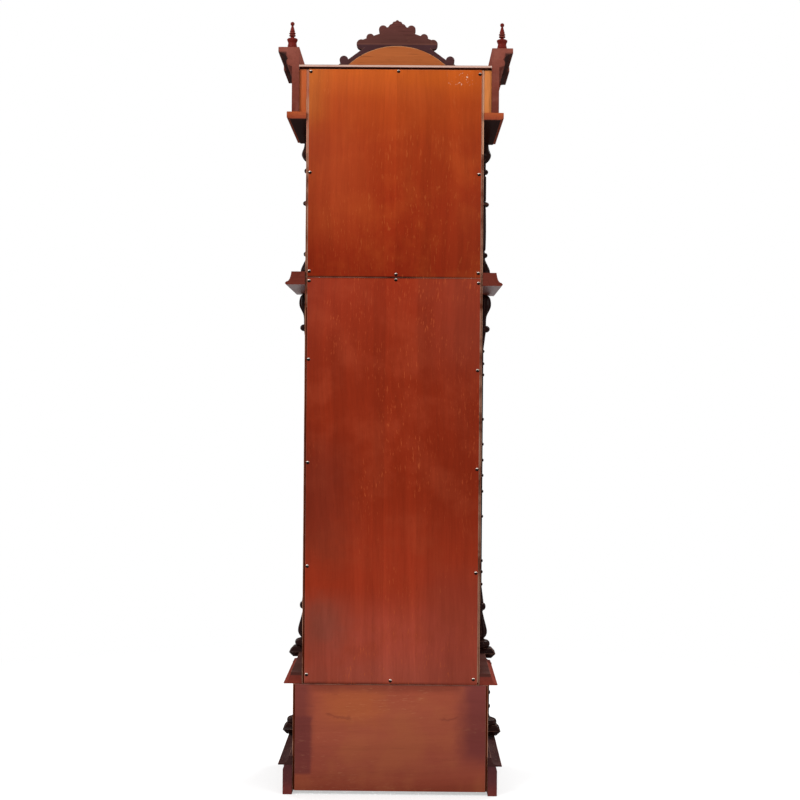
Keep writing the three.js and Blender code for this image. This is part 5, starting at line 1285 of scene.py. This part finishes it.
def addDoor(body):
    low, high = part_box(body + "_frame")
    glassLow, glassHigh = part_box(body + "_glass")
    stile, front = glassLow.x - seatGap - low.x, low.y
    shaped(body + "_joinery", "frameWood", "frame_wood", addSweep, frameProfile(stile, front, high.y),
           rectangle(low, high, stile), upright, node=body + "_frame", closed=True, soft=0.001)

    corners = [(x, front, z) for x, z in rectangle(low, high, stile - door["beadInset"])]
    grown(body + "_beads", beadString, {"Radius": door["bead"], "Spacing": 2.2 * door["bead"]}, "columnWood",
          corners, edges=[(0, 1), (1, 2), (2, 3), (3, 0)], along="z", body=body)

    shaped(body + "_pane", "doorGlass", "glass", addPane, glassLow, glassHigh, door["glassMargin"],
           door["glassDrop"], node=body + "_glass", crease=door["glassCrease"])

    knobLow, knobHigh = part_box(body + "_knob")
    reach, length = (knobHigh.x - knobLow.x) / 2, knobHigh.y - knobLow.y
    middle, plate, thick = (knobLow + knobHigh) / 2, door["plate"], door["plateThick"]
    profile = [(0, 0), (plate, 0), (plate, thick), (0.92 * reach, 2 * thick),
               *scaled(knobShares, reach, 0, length), *flowing(scaled(knobBall, reach, 0, length), 5),
               (0, length)]
    shaped(body + "_pull", "brass", "brass", addTurned, profile, facing(middle.x, middle.z, knobHigh.y),
           node=body + "_knob", soft=0.0005)

    hingeLow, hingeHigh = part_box(body + "_hinge")
    radius, bottom, top = door["hingeRadius"], hingeLow.z, hingeHigh.z
    pinX, pinY = high.x + door["hingeSide"], hingeLow.y + radius
    count = round((top - bottom) / door["knuckle"])
    pitch = (top - bottom) / count
    grown(body + "_knuckles", hingeKnuckles, {"Radius": radius, "Length": pitch - door["knuckleGap"]},
          "brass", [(pinX, pinY, bottom + (i + 0.5) * pitch) for i in range(count)],
          node=body + "_hinge")
    pin = 0.7 * radius

    def addLeaf(bm):
        addBoard(bm, Vector((hingeHigh.x - door["leafThick"], pinY, bottom)), hingeHigh, door["leafBevel"])
        addTurned(bm, [(0, bottom), (pin, bottom), (pin, top), (0, top)], standing(pinX, pinY), sides=16)

    shaped(body + "_leaf", "brass", "brass", addLeaf)


for body in ("waist_door", "hood_door"):
    addDoor(body)
print("doors done")


# Dial: chapter ring, hours, minutes and corner leaves

dial = {"z": 1.706, "inner": 0.094, "outer": 0.134, "thick": 0.0012, "rim": 0.0022, "lap": 0.0004,
        "crown": 0.001, "hour": 0.111, "tall": 0.024, "widest": 1.9, "ink": 0.0003, "minute": 0.1285,
        "fiveMinutes": 2.2, "centre": 0.030, "centreThick": 0.0005, "centreCrown": 0.0006}
dialFace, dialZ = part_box("dial_plate")[0].y, dial["z"]


def addRing(bm, inner, outer, thick, crown=0.0, sides=96):
    profile = [(outer, 0), (outer, thick), ((inner + outer) / 2, thick + crown), (inner, thick), (inner, 0)]
    place, turns = facing(0.0, dialZ, dialFace), [2 * math.pi * i / sides for i in range(sides)]
    skin(bm, [[bm.verts.new(place(r * math.cos(turn), r * math.sin(turn), h)) for turn in turns]
              for r, h in profile],
         looped=True, capped=False)


inner, outer, rim, lap, thick, crown = (dial[key]
                                        for key in ("inner", "outer", "rim", "lap", "thick", "crown"))
shaped("chapter_ring", "chapterPaint", "dial_paint", addRing, inner, outer, thick, crease=20)
brassRings = {
    "chapter_rim_outer": (outer - lap, outer + rim, thick, crown),
    "chapter_rim_inner": (inner - rim, inner + lap, thick, crown),
    "dial_centre_ring": (dial["centre"], dial["centre"] + rim, dial["centreThick"], dial["centreCrown"]),
}
for name, size in brassRings.items():
    shaped(name, "brass", "brass", addRing, *size, crease=20)

glyphs = {  # strokes as (foot x, head x, width) on a unit-high letter, then the letter's width
    "I": ([(0.15, 0.15, 0.17)], 0.30),
    "V": ([(0.40, 0.16, 0.17), (0.40, 0.68, 0.06)], 0.80),
    "X": ([(0.68, 0.14, 0.17), (0.12, 0.66, 0.06)], 0.80),
}
serif = {"height": 0.05, "over": 0.04}


def addNumeral(bm, label, degrees):
    turn, tall = math.radians(degrees), dial["tall"]
    width = sum(glyphs[letter][1] for letter in label)
    squeeze = min(1.0, dial["widest"] / width)

    def place(a, b, h):
        u, v = (a - width / 2) * squeeze * tall, dial["hour"] + (b - 0.5) * tall
        across, up = u * math.cos(turn) + v * math.sin(turn), v * math.cos(turn) - u * math.sin(turn)
        return Vector((across, dialFace - h, dialZ + up))

    shapes, start = [], 0.0
    for letter in label:
        strokes, advance = glyphs[letter]
        for foot, head, stroke in strokes:
            half, low, high = stroke / 2, start + foot, start + head
            shapes.append([(low - half, 0), (low + half, 0), (high + half, 1), (high - half, 1)])
        start += advance
    left, right = -serif["over"], width + serif["over"]
    for z in (0, 1 - serif["height"]):
        shapes.append([(left, z), (right, z), (right, z + serif["height"]), (left, z + serif["height"])])
    for corners in shapes:
        levels = (dial["thick"] - dial["ink"], dial["thick"] + dial["ink"])
        skin(bm, [[bm.verts.new(place(a, b, h)) for a, b in corners] for h in levels])


hours = ["XII", "I", "II", "III", "IIII", "V", "VI", "VII", "VIII", "IX", "X", "XI"]


def addHours(bm):
    for i, label in enumerate(hours):
        addNumeral(bm, label, 30 * i)


shaped("hour_numerals", "numeralPaint", "dial_paint", addHours)

turns = [math.radians(6 * minute) for minute in range(60)]
grown("minute_marks", dialMarks, {}, "numeralPaint",
      [(dial["minute"] * math.sin(turn), dialFace - thick, dialZ + dial["minute"] * math.cos(turn))
       for turn in turns],
      [(0, turn, 0) for turn in turns],
      [(1 if minute % 5 else dial["fiveMinutes"], 1, 1) for minute in range(60)])

spandrel = {"x": 0.186, "z": 0.128, "sunk": 0.0004, "petals": 7, "spread": 84, "width": 0.011, "thick": 0.005,
            "length": 0.058, "least": 1, "crown": 0, "taper": 0.9}
corners = [((x * spandrel["x"], dialFace - spandrel["sunk"], dialZ + z * spandrel["z"]), math.atan2(-x, -z))
           for x in (-1, 1) for z in (-1, 1)]
addFan("dial_corner_leaves", spandrel, "brass", corners)

ferrule = {"x": 0.046, "z": 1.652,
           "line": [(0.0085, 0.0), (0.0085, 0.0011), (0.0072, 0.0017), (0.0058, 0.0011), (0.0058, 0.0)]}
for side, x in (("going", -ferrule["x"]), ("strike", ferrule["x"])):
    place = facing(x, ferrule["z"], dialFace)
    shaped(side + "_winding_ferrule", "brass", "brass", addTurned, ferrule["line"], place, sides=32)
print("dial done")


# Base front panel, arch fan and crest carving

raisedPanel = {"half": 0.178, "low": 0.152, "high": 0.288, "rail": 0.020, "stand": 0.0055, "root": 0.001,
               "margin": 0.013, "field": 0.004}
stand, rail, root = raisedPanel["stand"], raisedPanel["rail"], baseFront + raisedPanel["root"]
panelLow = Vector((-raisedPanel["half"], baseFront - stand, raisedPanel["low"]))
panelHigh = Vector((raisedPanel["half"], root, raisedPanel["high"]))
railProfile = [
    (0.0, baseFront),
    *bent((0.001, baseFront - 0.3 * stand), (0.25 * rail, baseFront - stand),
          (0.55 * rail, baseFront - stand), 6),
    (0.6 * rail, baseFront - 0.75 * stand), (rail, baseFront - 0.55 * stand), (rail, root), (0.0, root),
]
shaped("base_panel_moulding", "frameWood", "frame_wood", addSweep, railProfile,
       rectangle(panelLow, panelHigh), upright, closed=True, soft=0.0008)
field = Vector((raisedPanel["field"], 0, raisedPanel["field"]))
shaped("base_raised_panel", "sideWood", "panel_wood", addPane, panelLow + field, panelHigh - field,
       raisedPanel["margin"], 0.8 * stand, along="z")

fan = {"petals": 13, "spread": 176, "width": 0.026, "thick": 0.014, "length": 0.185, "root": 0.010,
       "least": 1, "crown": 0.08, "taper": 0}
addFan("arch_fan", fan, "crestWood", [((0, boardLow.y, corniceHigh.z + fan["root"]), 0)], "z")

rimLine = {"radius": 0.237, "half": 0.0055, "sunk": 0.001, "lift": 0.002}
rimY, half = crestLow.y + rimLine["sunk"], rimLine["half"]
turns = [math.pi * i / 10 for i in range(11)]
rimProfile = [(-half * math.cos(turn), rimY - half * math.sin(turn)) for turn in turns]
shaped("arch_rim", "crestWood", "crest_wood", addSweep, rimProfile,
       archLine(rimLine["radius"], crestLow.z + rimLine["lift"]), upright)

palmette = {"petals": 7, "spread": 130, "width": 0.011, "thick": 0.010, "length": 0.044, "rise": 0.256,
            "least": 0.72, "crown": 0.34, "taper": 0}
addFan("crest_palmette", palmette, "crestWood",
       [((0, crestLow.y, archZ + palmette["rise"]), 0)], "z")

rosette = [(0.0, -0.001), (0.86, -0.001), (0.84, 0.003), (0.66, 0.0042), (0.55, 0.0016), (0.42, 0.0022),
           (0.36, 0.0052), (0.2, 0.0064), (0.0, 0.0068)]  # shares of the lobe's radius, and heights


def addRosettes(bm):
    for lobe in crestLobes:
        x, z = onArch(crestOuter + lobe["rise"], lobe["at"])
        for side in (-1, 1):
            place = facing(side * x, z, crestLow.y)
            addTurned(bm, scaled(rosette, lobe["radius"], 0, 1), place, sides=24, soft=0.0004)


shaped("crest_rosettes", "crestWood", "crest_wood", addRosettes, along="x")
print("carving done")


# Weights, cables, pendulum and movement

weight = {"cap": 0.012, "groove": 0.0012, "stem": 0.022, "corner": 0.005, "collar": 0.003, "neck": 0.005,
          "eyeFoot": 0.007, "eyeDrop": 0.004, "eye": (0.0040, 0.0034, 0.0022),  # radius, half height, core
          "travel": 0.85}
cable = {"strands": 3, "radius": 0.5, "offset": 0.48, "lay": 0.016}
for side in ("going", "strike"):
    low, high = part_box(side + "_weight")
    x, y, reach = (low.x + high.x) / 2, (low.y + high.y) / 2, (high.x - low.x) / 2
    shoulder, corner, groove = high.z - weight["stem"], weight["corner"], weight["groove"]
    foot, neck = low.z + weight["cap"], shoulder - weight["cap"]
    slim = reach - groove
    profile = [
        (0, low.z), (0.3 * reach, low.z),
        *bent((0.82 * reach, low.z), (reach, low.z), (reach, low.z + corner), 5),
        (reach, foot), (slim, foot + groove), (slim, foot + 2 * groove), (reach, foot + 3 * groove),
        (reach, neck - 3 * groove), (slim, neck - 2 * groove), (slim, neck - groove), (reach, neck),
        *bent((reach, shoulder - corner), (reach, shoulder), (0.82 * reach, shoulder), 5),
        (0.28 * reach, shoulder), (0.24 * reach, shoulder + weight["collar"]),
        (0.11 * reach, shoulder + weight["neck"]), (0.11 * reach, high.z - weight["eyeFoot"]),
        *beadAt(high.z - weight["eyeDrop"], *weight["eye"], 8), (0, high.z),
    ]
    shaped(side + "_weight_shell", "brass", "brass", addTurned, profile, standing(x, y), sides=56,
           node=side + "_weight")

    low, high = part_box(side + "_cable")
    length, thick, count = high.z - low.z, (high.x - low.x) / 2, cable["strands"]
    sizes = {"Radius": cable["radius"] * thick, "Offset": cable["offset"] * thick, "Lay": cable["lay"],
             "Length": length}
    strands = grown(side + "_cable_strands", twistedCable, sizes, "steel", [(x, y, low.z)] * count,
                    [(0, 0, 2 * math.pi * i / count) for i in range(count)], node=side + "_cable",
                    body="case")
    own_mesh(strands)

bobShares = [(1.0, 0.12), (0.985, 0.24), (0.93, 0.30), (0.92, 0.27), (0.89, 0.28), (0.88, 0.36), (0.78, 0.52),
             (0.55, 0.75), (0.3, 0.92), (0.12, 0.99), (0.0, 1.0)]
low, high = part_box("pendulum_bob")
middle, reach, half = (low + high) / 2, (high.x - low.x) / 2, (high.y - low.y) / 2
lens = scaled(bobShares[::-1], reach, 0, -half) + scaled(bobShares, reach, 0, half)
shaped("pendulum_lens", "brass", "brass", addTurned, lens, facing(middle.x, middle.z, middle.y),
       sides=72, node="pendulum_bob", soft=0.0004)

# shares of the radius, heights
nutHalf = [(0.0, 0.0), (0.6, 0.0), (0.66, 0.0012), (0.94, 0.0018), (1.0, 0.0026)]
low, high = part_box("rating_nut")
reach = (high.x - low.x) / 2
nutProfile = scaled(nutHalf, reach, low.z, 1) + scaled(nutHalf[::-1], reach, high.z, -1)
knurls, margin = (24, 0.12), nutHalf[2][1]
shaped("rating_knurl", "brass", "brass", addTurned, nutProfile, standing(0, (low.y + high.y) / 2), sides=96,
       relief=gadroon(*knurls, low.z + margin, high.z - margin), node="rating_nut")

carried = {
    "seatWood": ("seatboard",),
    "dialPaint": ("dial_plate",),
    "bluedSteel": ("minute_hand", "hour_hand"),
    "steel": ("pendulum_rod", "gong_rod", "pallet_anchor"),
    "brass": ("strike_hammer", "escape_wheel", "third_wheel", "centre_wheel", "minute_wheel", "going_barrel",
              "strike_barrel", "movement_front_plate", "movement_back_plate"),
}
for finish, nodes in carried.items():
    for node in nodes:
        coats = frame["nodes"][node].data.materials
        coats.clear()
        coats.append(finishes[finish])
print("movement done")


# Stage, light and camera

studio = {"floor": 14.0, "near": 0.45, "far": 2.6, "glow": 0.5, "bounce": 0.3, "above": 0.78, "below": 0.12,
          "horizon": (-0.35, 0.55)}
bpy.ops.mesh.primitive_plane_add(size=studio["floor"])
floor = bpy.context.object
floor.name = "studio_floor"
floor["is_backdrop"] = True


def seenDirectly(tree):  # what the camera, metal and glass look at
    path = addNode(tree, "ShaderNodeLightPath").outputs
    seen = calc(tree, "MAXIMUM", path["Is Camera Ray"], path["Is Glossy Ray"])
    return calc(tree, "MAXIMUM", seen, path["Is Transmission Ray"])


tree = newFinish("studioFloor")
# the floor glows more with distance from the clock: white far off, half glow beside it, so it darkens softly
# around the clock as painted shade next to the real shadow
away = vectorCalc(tree, "LENGTH", objectPlace(tree), output="Value")
glow = ramped(tree, away, studio["near"], studio["far"], studio["glow"], 1.0)
shown = seenDirectly(tree)
lit = mixColors(tree, shown, (studio["bounce"],) * 3 + (1,), calc(tree, "SUBTRACT", 1.0, glow))
shade(tree, {"Roughness": 0.9, "Specular IOR Level": 0.0, "Base Color": lit,
             "Emission Color": product(tree, shown, glow), "Emission Strength": 1.0})
floor.data.materials.append(finishes["studioFloor"])

scene.world = bpy.data.worlds.new("studioWorld")
scene.world.use_nodes = True
tree = scene.world.node_tree
tree.nodes.clear()
upward = partsOf(tree, addNode(tree, "ShaderNodeTexCoord").outputs["Generated"])["Z"]
strength = ramped(tree, upward, *studio["horizon"], studio["below"], studio["above"])
strength = mixColors(tree, seenDirectly(tree), strength, (1, 1, 1, 1))
background = addNode(tree, "ShaderNodeBackground", {"Color": strength})
addNode(tree, "ShaderNodeOutputWorld", {"Surface": background.outputs[0]})

lampSize = 2.2
lamps = {
    "rear_softbox": {"at": (3.0, 3.4, 4.4), "aim": (0.0, 0.2, 1.5), "watts": 170},
    "rear_fill": {"at": (-3.4, 3.4, 2.2), "aim": (0.0, 0.2, 1.0), "watts": 60},
    "front_softbox": {"at": (-2.6, -3.6, 4.2), "aim": (0.0, -0.2, 1.3), "watts": 190},
    "front_fill": {"at": (3.4, -3.4, 2.2), "aim": (0.0, -0.2, 1.0), "watts": 70},
}
for name, lamp in lamps.items():
    light = bpy.data.lights.new(name, "AREA")
    light.energy = lamp["watts"]
    light.size = lampSize
    holder = linked(name, light)
    holder.location = lamp["at"]
    holder.rotation_euler = (Vector(lamp["aim"]) - Vector(lamp["at"])).to_track_quat("-Z", "Y").to_euler()

view = {"at": (-0.053, 4.72, 1.15), "lens": 69.5, "sensor": 36.0, "down": -0.02, "heading": 180.41,
        "roll": 0.47}
camera = linked("photo_view", bpy.data.cameras.new("photo_view"))
camera.data.lens = view["lens"]
camera.data.sensor_width = view["sensor"]
turns = ((view["heading"], "Z"), (90 - view["down"], "X"), (view["roll"], "Z"))
aim = Matrix.Translation(view["at"])
for degrees, axis in turns:
    aim = aim @ Matrix.Rotation(math.radians(degrees), 4, axis)
camera.matrix_world = aim
scene.camera = camera
scene.view_settings.view_transform = "Standard"
print("stage done")

sizes = {"cad": [list(corner) for corner in cadBounds], "visual": [list(corner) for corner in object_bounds()]}
